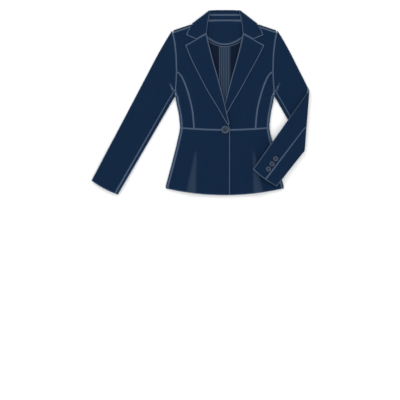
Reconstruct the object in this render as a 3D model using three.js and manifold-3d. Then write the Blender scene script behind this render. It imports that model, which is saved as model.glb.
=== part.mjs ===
// A single-breasted peplum jacket lying on its back on a flat surface, front up.
// One sleeve lies straight, the other is folded at the elbow across the peplum.
// Millimetres. X to the right of the page, Y up the page, Z up from the surface.
// While the pieces are made, x = 0 is the centre line and y = 0 the waist seam.
import * as THREE from "three";
import { mergeVertices } from "three/addons/utils/BufferGeometryUtils.js";
import Module from "manifold-3d";

// Cloth and how it lies
const CLOTH = 1.8; // wall of the suiting
const LINING = 1.2; // wall of the lining
const EDGE = 4.5; // radius of the soft fold at every silhouette edge
const CROWN = 5; // how far the chest stands above the folded edges
const SEAM = 0.2; // each piece stops this far short of its seam line
const TURN = 2.4; // radius of the roll at the lapel and the collar
const TURN_WALL = 2; // wall of the lapel and the collar

// Body
const OVERLAP = 19; // front edge past the centre line
const WAIST_HALF = 166;
const WAIST_RISE = 8; // the waist seam is this much higher at the side
const SIDE_SEAM_IN = 8; // the side seam lies this far inside the silhouette
const SHOULDER_SEAM_IN = 4; // the shoulder seam lies this far past the turned edge
const LENGTH = 241; // peplum, waist to hem at the centre
const HEM_RISE = 25; // the hem is this much higher at the side
const HEM_HALF = 218;
const NECK_Y = 405; // back neck seam
const STAND_Y = 425; // seam between the collar stand and the fall
const ROLL_Y = 443.8; // top of the collar at the centre back
const RETURN = ROLL_Y - STAND_Y; // collar inside the neck, down to the stand seam
const SHOULDER = { x: 195, y: 367, slope: 0.33 }; // tip and slope of the shoulder edge
const UNDER_COLLAR = { from: 128, over: 14, dip: 3 }; // the edge dips where the collar turns
const COLLAR_LIFT = 3; // the back neck lies on the turned-down collar

// Flutes of the peplum: a wave that starts at an apex and opens to the hem
const FLUTE = { x: 103, y: -53, hemX: 123, halfWidth: 24, rise: 8, backRise: 6 };

// Sleeves
const SLEEVE = {
  capOuter: [199.9, 369.6],
  capInner: [183, 125],
  cuffOuter: [492.7, -187.4],
  cuffInner: [394.6, -239.7],
  crown: 3.5,
  cuffBow: 3.5, // the cuff curves out this far past the line between its corners
};
const INNER_BOW = 10; // the folded sleeve's inner edge bows this much, over four, into it
const BACK_SLEEVE_SEAM = 0.55; // share of the cuff from the outer edge to the back seam
const BUTTON_LIFT = 3.8; // the straight cuff lies on its buttons
const ELBOW = {
  point: [312.7, 148], // where the fold leaves the outer edge
  along: [-0.076, -0.997], // direction of the fold line
  axis: 9.7, // height of the bend's axis
  neutral: 5.6, // radius at which the cloth keeps its length
  outer: [304.1, 163.3], // ends of the line where the fold starts, on the sleeve laid straight
  inner: [286.8, -62.6],
  cuffOuter: [473.7, -174.3], // the sleeve bends a little at the elbow before it is folded
  cuffInner: [377.1, -222.9],
  share: [0.45, 0.47], // shares of the sleeve's length at both sides of the bend
  rest: 11, // rise of the forearm onto the peplum
};

// Buttons
const FRONT_BUTTON = { radius: 14, height: 4.6, x: 1, y: 0.5, sides: 20 };
const CUFF_BUTTON = { radius: 9, height: 3.3, sides: 14, pitch: 23, fromCuff: 34, across: 0.42 };
const BUTTON_GAP = { front: 0.3, cuff: 0.6 }; // the shank lifts a button this much

// Seam and edge points, x outwards from the centre line
const PRINCESS = [
  { x: 113.4, y: 3.7 },
  { x: 116, y: 40 },
  { x: 120, y: 74 },
  { x: 128, y: 110 },
  { x: 139.5, y: 150 },
  { x: 150, y: 178 },
  { x: 161, y: 200 },
  { x: 175, y: 216 },
];
const ARMHOLE = [
  { x: 195, y: 367 },
  { x: 193.6, y: 362.5 },
  { x: 191, y: 352 },
  { x: 187, y: 335 },
  { x: 183.5, y: 308 },
  { x: 180.5, y: 279 },
  { x: 179.4, y: 250 },
  { x: 178.7, y: 219 },
  { x: 179.5, y: 195 },
  { x: 181, y: 172 },
  { x: 183, y: 150 },
  { x: 182.5, y: 135 },
  { x: 182.5, y: 129.5 },
  { x: 183, y: 125 },
];
const PRINCESS_AT = 7; // row of ARMHOLE that the princess seam starts from
const ROLL = [
  { x: -17.5, y: 21 },
  { x: -8, y: 60 },
  { x: 0, y: 97 },
  { x: 14, y: 150 },
  { x: 27, y: 200 },
  { x: 40, y: 245 },
  { x: 53, y: 295 },
  { x: 62, y: 332 },
  { x: 66, y: 354 },
];
const LAPEL_EDGE = [
  { x: -10, y: 18 },
  { x: 12, y: 56 },
  { x: 33, y: 92 },
  { x: 65.5, y: 145 },
  { x: 92.5, y: 196 },
  { x: 114.5, y: 240 },
  { x: 131.5, y: 277 },
  { x: 140.5, y: 300 },
  { x: 146, y: 312 },
];
const LEFT_LAPEL = { narrower: 9, top: 312, run: 330 }; // the left lapel's edge bows in more
const SIDE = [
  { y: -216, half: 218 },
  { y: -160, half: 204 },
  { y: -100, half: 189 },
  { y: -40, half: 175 },
  { y: 9, half: 166 },
  { y: 40, half: 168 },
  { y: 65, half: 171.5 },
  { y: 100, half: 179 },
  { y: 125, half: 183 },
];

const cloth = { color: 0x162a42, roughness: 0.85, metalness: 0 };
const satin = { color: 0x101d30, roughness: 0.45, metalness: 0 };
const horn = { color: 0x222f40, roughness: 0.35, metalness: 0 };

const group = new THREE.Group();
const clamp = (t) => Math.min(1, Math.max(0, t));
const smooth = (t) => clamp(t) ** 2 * (3 - 2 * clamp(t));
const lerp = (a, b, t) => a + (b - a) * t;
const span = (n) => Array.from({ length: n + 1 }, (_, k) => k / n);
const count = (list) => list.map((_, k) => k);
const grid = (rows, cols, at) => rows.map((r) => cols.map((c) => at(r, c)));

// The value of one column of a table at a value of another
function look(table, from, to, value) {
  const k = table.findIndex((row, i) => i > 0 && row[from] >= value);
  const i = k < 0 ? table.length - 1 : k;
  const [a, b] = [table[i - 1], table[i]];
  return lerp(a[to], b[to], clamp((value - a[from]) / (b[from] - a[from])));
}

const halfWidth = (y) => look(SIDE, "y", "half", y);
const waistY = (x) => WAIST_RISE * (x / WAIST_HALF) ** 2;
const hemY = (x) => -LENGTH + HEM_RISE * (x / HEM_HALF) ** 2;
const shoulderY = (x) => {
  const line = SHOULDER.y + SHOULDER.slope * (SHOULDER.x - Math.abs(x));
  return line - UNDER_COLLAR.dip * smooth((UNDER_COLLAR.from - Math.abs(x)) / UNDER_COLLAR.over);
};
const backTopY = (x) => lerp(shoulderY(x), NECK_Y, smooth((84 - Math.abs(x)) / 10));

// Rise of a flute at a point: nothing above its apex, a full wave at the hem
function flute(x, y, rise) {
  const down = clamp((FLUTE.y - y) / (LENGTH + FLUTE.y));
  const middle = lerp(FLUTE.x, FLUTE.hemX, down);
  const off = (Math.abs(x) - middle) / (6 + FLUTE.halfWidth * down);
  return Math.abs(off) < 1 ? rise * down * Math.cos((off * Math.PI) / 2) ** 2 : 0;
}

// Height of the outside of the front layer
function frontTop(x, y) {
  const fromSide = Math.max(0, halfWidth(y) - Math.abs(x));
  const fromTop = Math.max(0, shoulderY(x) - y);
  const swell = (1 - Math.exp(-fromSide / 45)) * (1 - Math.exp(-fromTop / 60));
  return 2 * EDGE + CROWN * swell + flute(x, y, FLUTE.rise);
}

// Underside of the back layer, which lies on the surface but for collar and flutes
function backFloor(x, y) {
  const near = smooth((y - 336) / 44) * smooth((144 - Math.abs(x)) / 20);
  return COLLAR_LIFT * near + flute(x, y, FLUTE.backRise);
}

// The wearer's left front lies lower near the centre, under the right one
function sunk(x, y) {
  const deep = lerp(2.5, 6, smooth(y / 18));
  return deep * smooth((72 - x) / 48);
}

// A closed wall between a grid of outside points and its grid of inside points.
// Cells that kept() turns down are left out, and the wall closes round them.
function wall(name, outer, inner, material, kept = () => true) {
  const rows = outer.length;
  const cols = outer[0].length;
  const inside = (i, j) => i >= 0 && j >= 0 && i < rows - 1 && j < cols - 1;
  const cell = (i, j) => inside(i, j) && kept(i, j);
  const corners = [];
  const quad = (a, b, c, d) => corners.push(a, b, c, a, c, d);
  for (let i = 0; i < rows - 1; i++) {
    for (let j = 0; j < cols - 1; j++) {
      if (!cell(i, j)) continue;
      const ring = [[i, j], [i, j + 1], [i + 1, j + 1], [i + 1, j]];
      const [a, b, c, d] = ring.map(([m, n]) => outer[m][n]);
      const [e, f, g, h] = ring.map(([m, n]) => inner[m][n]);
      quad(a, b, c, d);
      quad(e, h, g, f);
      if (!cell(i - 1, j)) quad(b, a, e, f);
      if (!cell(i + 1, j)) quad(d, c, g, h);
      if (!cell(i, j - 1)) quad(a, d, h, e);
      if (!cell(i, j + 1)) quad(c, b, f, g);
    }
  }
  const triangles = Array.from({ length: corners.length / 3 }, (_, k) =>
    corners.slice(3 * k, 3 * k + 3));
  const six = ([p, q, r]) => p.dot(new THREE.Vector3().crossVectors(q, r));
  const inward = triangles.reduce((sum, t) => sum + six(t), 0) < 0;
  const facing = triangles.flatMap(([p, q, r]) => (inward ? [p, r, q] : [p, q, r]));
  const geometry = new THREE.BufferGeometry().setFromPoints(facing);
  addMesh(name, mergeVertices(geometry), material);
}

function addMesh(name, geometry, material) {
  geometry.computeVertexNormals();
  const mesh = new THREE.Mesh(geometry, new THREE.MeshStandardMaterial(material));
  mesh.name = name;
  group.add(mesh);
  return mesh;
}

const point = (x, y, z) => new THREE.Vector3(x, y, z);

// A wall whose outside is given and whose inside is straight below or above it
function flatWall(name, rows, cols, at, thick, material) {
  const outer = grid(rows, cols, at);
  const inner = outer.map((row) => row.map((p) => point(p.x, p.y, p.z - thick)));
  wall(name, outer, inner, material);
}

// Fronts: from the front edge and the roll line to the princess seam and armhole
const frontOuter = [
  ...PRINCESS,
  ...ARMHOLE.slice(3, PRINCESS_AT + 1).reverse(),
  { x: 191, y: 352 },
];
const frontInner = [
  { x: -OVERLAP, y: 0 },
  ...ROLL.slice(0, 6).map((p) => ({ x: p.x + TURN + 0.4, y: p.y })),
  { x: 46 + TURN, y: 262 },
  { x: 53 + TURN, y: 290 },
  { x: 59 + TURN, y: 315 },
  { x: 64 + TURN, y: 338 },
  { x: 68 + TURN, y: 356 },
  { x: 72 + TURN, y: 376 },
  { x: 76 + TURN, y: 390 },
];

function makeFront(side, name) {
  const across = [0, 0.1, 0.22, 0.4, 0.6, 0.8, 1];
  const last = frontOuter.length - 1;
  const at = (k, u) => {
    const [a, b] = [frontInner[k], frontOuter[k]];
    const x = lerp(a.x, b.x - SEAM, u);
    const bend = k === 0 ? waistY(x) + SEAM : lerp(a.y, b.y, u);
    const y = k === last ? shoulderY(x) - EDGE - SHOULDER_SEAM_IN - 2 * SEAM : bend;
    const low = side > 0 ? sunk(x, y) : 0;
    return point(side * x, y, frontTop(x, y) - low);
  };
  flatWall(name, count(frontOuter), across, at, CLOTH, cloth);
}

// Side fronts: from the princess seam to the side seam and the lower armhole
const sideOuter = [
  { x: halfWidth(9) - SIDE_SEAM_IN, y: 7.5 },
  { x: halfWidth(40) - SIDE_SEAM_IN, y: 40 },
  { x: halfWidth(74) - SIDE_SEAM_IN + 1, y: 74 },
  { x: halfWidth(104) - SIDE_SEAM_IN + 2, y: 104 },
  { x: 177, y: 129 },
  { x: 183, y: 150 },
  { x: 181, y: 172 },
  { x: 179.5, y: 195 },
  { x: 178.7, y: 213.5 },
];
const sideInner = [...PRINCESS.slice(0, 7), { x: 170, y: 210.3 }, { x: 177.4, y: 213.8 }];

function makeSideFront(side, name) {
  const at = (k, u) => {
    const x = lerp(sideInner[k].x + SEAM, sideOuter[k].x - SEAM, u);
    const y = k === 0 ? waistY(x) + SEAM : lerp(sideInner[k].y, sideOuter[k].y, u);
    return point(side * x, y, frontTop(x, y));
  };
  flatWall(name, count(sideInner), span(3), at, CLOTH, cloth);
}

// Backs: flat on the surface, then round the shoulder edge to the shoulder seam
const backOuter = [...PRINCESS, ...ARMHOLE.slice(2, PRINCESS_AT + 1).reverse()];
const BACK_CENTRE_Y = [0, 40, 74, 110, 150, 180, 207, 232, 255, 285, 315, 345, 368, 382];

function makeBack(side, name) {
  const across = [0, 0.15, 0.3, 0.37, 0.41, 0.43, 0.445, 0.46, 0.475, 0.49, 0.52, 0.68, 0.84, 1];
  const flat = backOuter.length;
  const turns = [0, 0.25, 0.5, 0.75, 1, 1];
  const rows = Array.from({ length: flat + turns.length }, (_, k) => k);
  const at = (depth) => (k, u) => {
    const b = backOuter[Math.min(k, flat - 1)];
    const x = lerp(SEAM, b.x - SEAM, u);
    if (k < flat) {
      const y = k === 0 ? waistY(x) + SEAM : lerp(BACK_CENTRE_Y[k], b.y, u);
      return point(side * x, y, backFloor(x, y) + depth);
    }
    const over = smooth((x - 78) / 22);
    const top = backTopY(x);
    const low = backFloor(x, top - EDGE);
    const radius = (2 * EDGE - low) / 2;
    const turn = turns[k - flat] * Math.PI * over;
    const onTop = k === rows.length - 1 ? SHOULDER_SEAM_IN * over ** 4 : 0;
    const ahead = (1 - over) * ((k - flat) / turns.length) * (radius - SEAM) + onTop;
    const y = top - radius + (radius - depth) * Math.sin(turn) + ahead * Math.cos(turn);
    const z = low + radius - (radius - depth) * Math.cos(turn) + ahead * Math.sin(turn);
    return point(side * x, y, z);
  };
  const outer = grid(rows, across, at(0));
  wall(name, outer, grid(rows, across, at(CLOTH)), cloth);
}

// Columns of a piece that goes round the side edge to the side seam on top
const SIDE_COLS = [0, 1, 2, 3, 4, 5, 6, 7, 8];
const FLAT_COLS = 3;

// Across a side: flat to where the edge turns, round it, and on to the seam
function roundSide(c, from, edge, seamX, depth, floor = 0) {
  if (c <= FLAT_COLS) return { x: lerp(from, edge - EDGE, c / FLAT_COLS), z: floor + depth };
  const turn = (-0.5 + (c - FLAT_COLS) / 4) * Math.PI;
  if (c < SIDE_COLS.length - 1) {
    const x = edge - EDGE + (EDGE - depth) * Math.cos(turn);
    return { x, z: EDGE + (EDGE - depth) * Math.sin(turn) };
  }
  return { x: seamX, z: 2 * EDGE - depth };
}

const UNDERARM = 4; // row of the side tables at the underarm

function makeSideBack(side, name) {
  const spot = (depth) => (k, c) => {
    const [inner, outer] = [sideInner[k], sideOuter[k]];
    const from = inner.x + SEAM;
    const yOf = (x) => {
      const along = clamp((x - inner.x) / (outer.x - inner.x));
      return k === 0 ? waistY(x) + SEAM : lerp(inner.y, outer.y, along);
    };
    if (k > UNDERARM) {
      const x = lerp(from, outer.x - SEAM, clamp(c / FLAT_COLS));
      return point(side * x, yOf(x), depth);
    }
    const seamX = Math.min(outer.x + SEAM, halfWidth(outer.y) - EDGE - SEAM);
    const p = roundSide(c, from, halfWidth(outer.y), seamX, depth);
    return point(side * p.x, yOf(p.x), p.z);
  };
  const rows = count(sideInner);
  const turned = (i, j) => i < UNDERARM || j < FLAT_COLS;
  wall(name, grid(rows, SIDE_COLS, spot(0)), grid(rows, SIDE_COLS, spot(CLOTH)), cloth, turned);
}

// Peplum: rows from the waist seam to the hem, columns closest over the flutes
const PEPLUM_ROWS = [0, 0.14, 0.28, 0.42, 0.56, 0.7, 0.85, 1];
const FRONT_COLS = [0, 0.13, 0.27, 0.4, 0.5, 0.55, 0.6, 0.65, 0.7, 0.76, 0.88, 1];
const BACK_COLS = [0, 0.22, 0.42, 0.49, 0.55, 0.61, 0.68, 0.82, 1];
const peplumY = (x, v) => lerp(waistY(x) - SEAM, hemY(x), v);

function makePeplumFront(side, name) {
  const at = (v, u) => {
    const sideX = halfWidth(peplumY(WAIST_HALF, v)) - SIDE_SEAM_IN - SEAM;
    const x = lerp(-OVERLAP, sideX, u);
    const y = peplumY(x, v);
    const low = side > 0 ? sunk(x, y) : 0;
    return point(side * x, y, frontTop(x, y) - low);
  };
  flatWall(name, PEPLUM_ROWS, FRONT_COLS, at, CLOTH, cloth);
}

function makePeplumBack(name) {
  const turned = SIDE_COLS.slice(FLAT_COLS + 1);
  const half = [...BACK_COLS.map((u) => ({ u })), ...turned.map((c) => ({ c }))];
  const cols = [
    ...half.slice(1).reverse().map((col) => ({ ...col, side: -1 })),
    ...half.map((col) => ({ ...col, side: 1 })),
  ];
  const at = (depth) => (v, col) => {
    const edge = halfWidth(peplumY(WAIST_HALF, v));
    if (col.c === undefined) {
      const x = col.u * (edge - EDGE);
      const y = peplumY(x, v);
      return point(col.side * x, y, backFloor(x, y) + depth);
    }
    const p = roundSide(col.c, 0, edge, edge - SIDE_SEAM_IN + SEAM, depth);
    return point(col.side * p.x, peplumY(p.x, v), p.z);
  };
  wall(name, grid(PEPLUM_ROWS, cols, at(0)), grid(PEPLUM_ROWS, cols, at(CLOTH)), cloth);
}

// Sleeves: a flattened tube between an outer and an inner edge line
const plus = (a, b, k = 1) => [a[0] + b[0] * k, a[1] + b[1] * k];
const minus = (a, b) => [a[0] - b[0], a[1] - b[1]];
const dot = (a, b) => a[0] * b[0] + a[1] * b[1];
const unit = (a) => [a[0] / Math.hypot(...a), a[1] / Math.hypot(...a)];
const mix = (a, b, t) => [lerp(a[0], b[0], t), lerp(a[1], b[1], t)];

const FOLD = unit(ELBOW.along);
const AWAY = [-FOLD[1], FOLD[0]]; // across the fold line, away from the body
const FOLD_START = plus(ELBOW.point, AWAY, -ELBOW.axis);
const pastFold = (p) => dot(minus(p, FOLD_START), AWAY);

// Where the edge line from a to b reaches a distance past the start of the fold
function edgeAt(a, b, past) {
  const along = (past - pastFold(a)) / (pastFold(b) - pastFold(a));
  return mix(a, b, along);
}

function straightRows() {
  const shares = [0, 0.04, 0.1, 0.18, 0.3, 0.44, 0.58, 0.72, 0.84, 0.93, 0.97, 1];
  return shares.map((s) => ({
    share: s,
    outer: mix(SLEEVE.capOuter, SLEEVE.cuffOuter, s),
    inner: mix(SLEEVE.capInner, SLEEVE.cuffInner, s),
    crown: SLEEVE.crown * smooth(s / 0.25),
    lift: BUTTON_LIFT * smooth((s - 0.62) / 0.2),
  }));
}

// The upper arm runs to the fold, the forearm from there; both lie flat near the bend
function foldedRows() {
  const bend = Math.PI * ELBOW.neutral;
  const pair = (past) => [
    edgeAt(ELBOW.outer, ELBOW.cuffOuter, past),
    edgeAt(ELBOW.inner, ELBOW.cuffInner, past),
  ];
  const after = pair(bend);
  const crown = (away) => SLEEVE.crown * smooth((away - 30) / 70);
  const row = (share, [outer, inner], high, deep = 0) =>
    ({ share, outer, inner, crown: high, crownBack: deep, lift: 0 });
  const [last, first] = ELBOW.share;
  const upper = [0, 0.1, 0.28, 0.5, 0.72, 0.9, 1].map((t) => {
    const at = [mix(SLEEVE.capOuter, ELBOW.outer, t), mix(SLEEVE.capInner, ELBOW.inner, t)];
    const spare = INNER_BOW * t * (1 - t);
    at[1] = plus(at[1], unit(minus(at[0], at[1])), spare);
    return row(last * t, at, Math.min(crown(115 * (1 - t)), SLEEVE.crown * smooth(t / 0.3)));
  });
  const turn = span(6).slice(1).map((t) => row(lerp(last, first, t), pair(bend * t), 0));
  const lower = [0.08, 0.2, 0.36, 0.52, 0.68, 0.84, 0.94, 1].map((t) => {
    const at = [mix(after[0], ELBOW.cuffOuter, t), mix(after[1], ELBOW.cuffInner, t)];
    return row(lerp(first, 1, t), at, 0, crown(300 * t));
  });
  return [...upper, ...turn, ...lower];
}

// Armhole points by their share of the way from the shoulder to the underarm
const armholeShare = ARMHOLE.map((_, k) => {
  const run = (n) => ARMHOLE.slice(1, n + 1).reduce((sum, p, i) =>
    sum + Math.hypot(p.x - ARMHOLE[i].x, p.y - ARMHOLE[i].y), 0);
  return run(k) / run(ARMHOLE.length - 1);
});
const ARMHOLE_RUN = armholeShare.map((u, k) => ({ u, ...ARMHOLE[k] }));

// The armhole bends the first part of the sleeve's sections out of straight
function across(row, u) {
  const bow = [look(ARMHOLE_RUN, "u", "x", u) + SEAM, look(ARMHOLE_RUN, "u", "y", u)];
  const chord = mix(SLEEVE.capOuter, SLEEVE.capInner, u);
  const fade = clamp(1 - row.share / 0.2) ** 2;
  const across = minus(row.inner, row.outer);
  const edge = EDGE / width(row);
  const t = clamp((u - edge) / (1 - 2 * edge));
  const past = SLEEVE.cuffBow * 4 * t * (1 - t) * smooth((row.share - 0.9) / 0.1);
  const line = plus(mix(row.outer, row.inner, u), unit([-across[1], across[0]]), past);
  return plus(line, minus(bow, chord), fade);
}

const width = (row) => Math.hypot(...minus(row.outer, row.inner));

// The back seam drifts towards the outer edge on its way to the cuff
function backShare(u, share) {
  const from = armholeShare[PRINCESS_AT];
  const to = lerp(from, BACK_SLEEVE_SEAM, share);
  return u < from ? (u * to) / from : 1 - ((1 - u) * (1 - to)) / (1 - from);
}

// One point of the tube's wall: spot says the layer or the turned edge it is on
function tubePoint(row, spot, depth) {
  const wide = width(row);
  const round = EDGE - depth;
  let c = 0;
  let z = 0;
  if (spot.turn !== undefined) {
    const out = round * Math.cos(spot.turn);
    c = spot.at === "outer" ? EDGE - out : wide - EDGE + out;
    z = EDGE + round * Math.sin(spot.turn);
  } else if (spot.layer === "front") {
    c = spot.u * wide;
    const t = clamp((c - EDGE) / (wide - 2 * EDGE));
    z = 2 * EDGE - depth + row.crown * Math.sin(Math.PI * t) ** 0.8;
  } else {
    c = backShare(spot.u, row.share) * wide;
    const t = clamp((c - EDGE) / (wide - 2 * EDGE));
    z = depth - (row.crownBack ?? 0) * Math.sin(Math.PI * t) ** 0.8;
  }
  const [x, y] = across(row, c / wide);
  return point(x, y, z + row.lift);
}

// Bend the sleeve up and over at the elbow, and rest the forearm on the peplum
function foldOver(p) {
  const past = pastFold([p.x, p.y]);
  if (past <= 0) return p;
  const foot = plus([p.x, p.y], AWAY, -past);
  const turn = Math.min(past / ELBOW.neutral, Math.PI);
  const beyond = Math.max(0, past - Math.PI * ELBOW.neutral);
  const radius = ELBOW.axis - p.z;
  const out = radius * Math.sin(turn) - beyond;
  const [x, y] = plus(foot, AWAY, out);
  const rise = ELBOW.rest * smooth((beyond - 15) / 125);
  return point(x, y, ELBOW.axis - radius * Math.cos(turn) + rise);
}

const frontSpots = armholeShare.slice(1, -1).map((u) => ({ layer: "front", u }));
const backSpots = armholeShare.slice(1, -1).map((u) => ({ layer: "back", u }));
const turns = (at, from, to) => [1, 2, 3].map((k) => ({
  at,
  turn: lerp(from, to, k / 4) * Math.PI,
}));
const outerEdge = turns("outer", 0.5, -0.5);
const innerEdge = turns("inner", 0.5, -0.5);
const FRONT_SEAM_ROW = 10; // column of the front spots that the front seam follows

function makeSleeve(side, hand, rows, shape) {
  const place = (depth) => (row, spot) => {
    const p = shape(tubePoint(row, spot, depth));
    return point(side * p.x, p.y, p.z);
  };
  const piece = (name, spots) => {
    const outer = grid(rows, spots, place(0));
    wall(name, outer, grid(rows, spots, place(CLOTH)), cloth);
  };
  const front = frontSpots.slice(0, FRONT_SEAM_ROW).reverse();
  const frontLast = { ...front[0], u: front[0].u - SEAM / 120 };
  const back = backSpots.slice(0, PRINCESS_AT);
  const backLast = { ...back[back.length - 1] };
  backLast.u -= SEAM / 120;
  piece(`top_sleeve_${hand}`, [
    frontLast, ...front.slice(1), ...outerEdge, ...back.slice(0, -1), backLast,
  ]);
  const under = backSpots.slice(PRINCESS_AT - 1);
  const underFirst = { ...under[0], u: under[0].u + SEAM / 120 };
  const over = frontSpots.slice(FRONT_SEAM_ROW - 1);
  const overFirst = { ...over[0], u: over[0].u + SEAM / 120 };
  piece(`under_sleeve_${hand}`, [
    overFirst, ...over.slice(1), ...innerEdge, ...under.slice(1).reverse(), underFirst,
  ]);
}

// Lapels: each front turned over at the roll line
function makeLapel(side, name) {
  const flats = [0, 0.2, 0.4, 0.6, 0.8, 1];
  const arcs = [0.25, 0.5, 0.75, 1].map((t) => t * Math.PI);
  const spot = (depth) => (k, c) => {
    const roll = ROLL[k];
    const edge = { ...LAPEL_EDGE[k] };
    const down = (LEFT_LAPEL.top - edge.y) / LEFT_LAPEL.run;
    if (side > 0) edge.x -= LEFT_LAPEL.narrower * Math.sin(Math.PI * down);
    const u = c < flats.length ? flats[c] : 1;
    const x = lerp(edge.x, roll.x + TURN, u);
    const y = lerp(edge.y, roll.y, u) - (k === ROLL.length - 1 ? SEAM : 0);
    const low = side > 0 ? sunk(x, y) : 0;
    const top = frontTop(x, y) - CLOTH + 2 * TURN - low;
    if (c < flats.length) return point(side * x, y, top - depth);
    const turn = arcs[c - flats.length];
    const radius = TURN - depth;
    const z = top - TURN + radius * Math.cos(turn);
    return point(side * (x - radius * Math.sin(turn)), y, z);
  };
  const cols = count([...flats, ...arcs]);
  const rows = count(ROLL);
  wall(name, grid(rows, cols, spot(0)), grid(rows, cols, spot(TURN_WALL)), cloth);
}

// Collar: one strip from notch to notch round the back of the neck. Each section
// runs from the style edge to the roll line and turns there into the neck.
const FALL_TOP = 2 * EDGE - CLOTH + 2 * TURN; // collar in front, at the shoulder edge
const SILHOUETTE = { roll: [56, 444], edge: [121, 394] }; // where the fall turns
const SLIDE = { roll: 6, edge: 4 }; // along that line, off the corners where rows would cross
const COLLAR_FRONT = [
  { edge: [126.5, 381.5], middle: [92, 403], roll: [58.5, 421] },
  { edge: [131, 374.5], middle: [97.5, 385], roll: [62.3, 398] },
  { edge: [138, 362.5], middle: [101, 363], roll: [65, 376] },
  { edge: [142, 350], middle: [106.4, 334.2], roll: [66.4, 355.8] },
];
const COLLAR_BACK = [0, 0.25, 0.5, 0.7];

function collarColumns() {
  const back = COLLAR_BACK.map((b) => {
    const edge = [104 * b, 388 + 9 * b * b];
    const roll = [53 * b, ROLL_Y - 1.5 * b ** 4];
    return { edge, middle: mix(edge, roll, 0.5), roll, normal: [0, 0, 1], z: 0, keep: true };
  });
  const line = unit(minus(SILHOUETTE.roll, SILHOUETTE.edge));
  const face = [line[1], -line[0]];
  const radius = FALL_TOP / 2;
  const turned = [-1, -0.5, 0, 0.5, 1].map((t) => {
    const [cos, sin] = [Math.cos((t * Math.PI) / 2), Math.sin((t * Math.PI) / 2)];
    const end = (name, slide) =>
      plus(plus(SILHOUETTE[name], face, radius * (cos - 1)), line, slide * (1 - cos));
    const edge = end("edge", t > 0 ? -SLIDE.edge : 0);
    const roll = end("roll", t < 0 ? SLIDE.roll : 0);
    const normal = [-face[0] * cos, -face[1] * cos, -sin];
    return { edge, middle: mix(edge, roll, 0.5), roll, normal, z: radius * (1 + sin) };
  });
  const front = COLLAR_FRONT.map((c) => ({ ...c, normal: [0, 0, -1], z: null }));
  return [...back, ...turned, ...front];
}

function makeCollar(name) {
  const half = collarColumns();
  const cols = [
    ...half.slice(1).reverse().map((c) => ({ ...c, side: -1 })),
    ...half.map((c) => ({ ...c, side: 1 })),
  ];
  const flats = [0, 0.5, 1, 1.5, 2];
  const arcs = [0.25, 0.5, 0.75, 1].map((t) => t * Math.PI);
  const rows = count([...flats, ...arcs, "return"]);
  const spot = (depth) => (r, c) => {
    const way = unit(minus(c.roll, c.middle));
    const centre = plus(c.roll, way, -TURN);
    const t = flats[Math.min(r, flats.length - 1)];
    const flat = t <= 1 ? mix(c.edge, c.middle, t) : mix(c.middle, centre, t - 1);
    const height = ([x, y]) => c.z ?? frontTop(x, y) - CLOTH + 2 * TURN;
    let at = flat;
    let inward = depth;
    if (r >= flats.length) {
      const turn = arcs[Math.min(r - flats.length, arcs.length - 1)];
      at = plus(centre, way, (TURN - depth) * Math.sin(turn));
      inward = TURN - (TURN - depth) * Math.cos(turn);
      const back = r === rows.length - 1 ? (c.keep ? RETURN - TURN : 0.6) : 0;
      at = plus(at, way, -back);
    }
    const [nx, ny, nz] = c.normal;
    const base = height(r >= flats.length ? centre : flat);
    return point(c.side * (at[0] + nx * inward), at[1] + ny * inward, base + nz * inward);
  };
  wall(name, grid(rows, cols, spot(0)), grid(rows, cols, spot(TURN_WALL)), cloth);
}

// Inside of the neck
const BAND_HALF = 70;
const bandTop = (x) => 317 + 22 * (x / 60) ** 2;
const bandLow = (x) => 307 + 19 * (x / 60) ** 2;
const PLEAT_HALF = 20.7;
const LINING_LOW = 84;
const onBack = (x, y) => backFloor(x, y) + CLOTH + 0.3 + 0.6 * smooth((y - 312) / 20);

function makeNeck() {
  const sheet = (name, halfX, low, high, z, thick, material, rows = 3, cols = 8) => {
    const at = (v, u) => {
      const x = lerp(-halfX, halfX, u);
      const y = lerp(low(x) + SEAM, high(x) - SEAM, v);
      return point(x, y, z(x, y, v) + thick);
    };
    flatWall(name, span(rows), span(cols), at, thick, material);
  };
  const neckLine = (x) => NECK_Y - 1.5 * smooth((Math.abs(x) - 55) / 10);
  sheet("back_neck_facing", 72, bandTop, neckLine, onBack, 1.4, cloth, 5);
  sheet("neck_band", BAND_HALF, bandLow, bandTop, onBack, 2.2, satin, 1);
  const stand = (x, y, v) => lerp(4.7, 3.4, v);
  sheet("collar_stand", 60, () => NECK_Y, () => STAND_Y, stand, 1.4, cloth, 2);
  const pleatCols = [-1, -0.6, -0.2, 0.2, 0.6, 1];
  const pleat = (v, u) => {
    const x = u * PLEAT_HALF;
    const y = lerp(LINING_LOW, bandLow(x) - 3 * SEAM, v);
    const fold = Math.abs(u) === 0.6 ? 0.9 : 0;
    return point(x, y, onBack(x, y) + LINING + 0.3 + fold);
  };
  flatWall("lining_pleat", span(5), pleatCols, pleat, LINING, satin);
  for (const [side, hand] of [[-1, "right"], [1, "left"]]) {
    const at = (v, u) => {
      const far = lerp(32, 82, v);
      const x = lerp(PLEAT_HALF + SEAM, far, u);
      const y = lerp(112, bandLow(Math.min(x, BAND_HALF)) - 4 * SEAM, v);
      return point(side * x, y, onBack(x, y) + LINING);
    };
    flatWall(`back_lining_${hand}`, span(5), span(3), at, LINING, satin);
  }
}

// Buttons: a dished disc with a raised rim and four holes
const wasm = await Module();
wasm.setup();

function solid(geometry) {
  const bare = geometry.clone();
  bare.deleteAttribute("normal");
  bare.deleteAttribute("uv");
  const merged = mergeVertices(bare);
  return new wasm.Manifold(new wasm.Mesh({
    numProp: 3,
    vertProperties: new Float32Array(merged.attributes.position.array),
    triVerts: new Uint32Array(merged.index.array),
  }));
}

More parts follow.
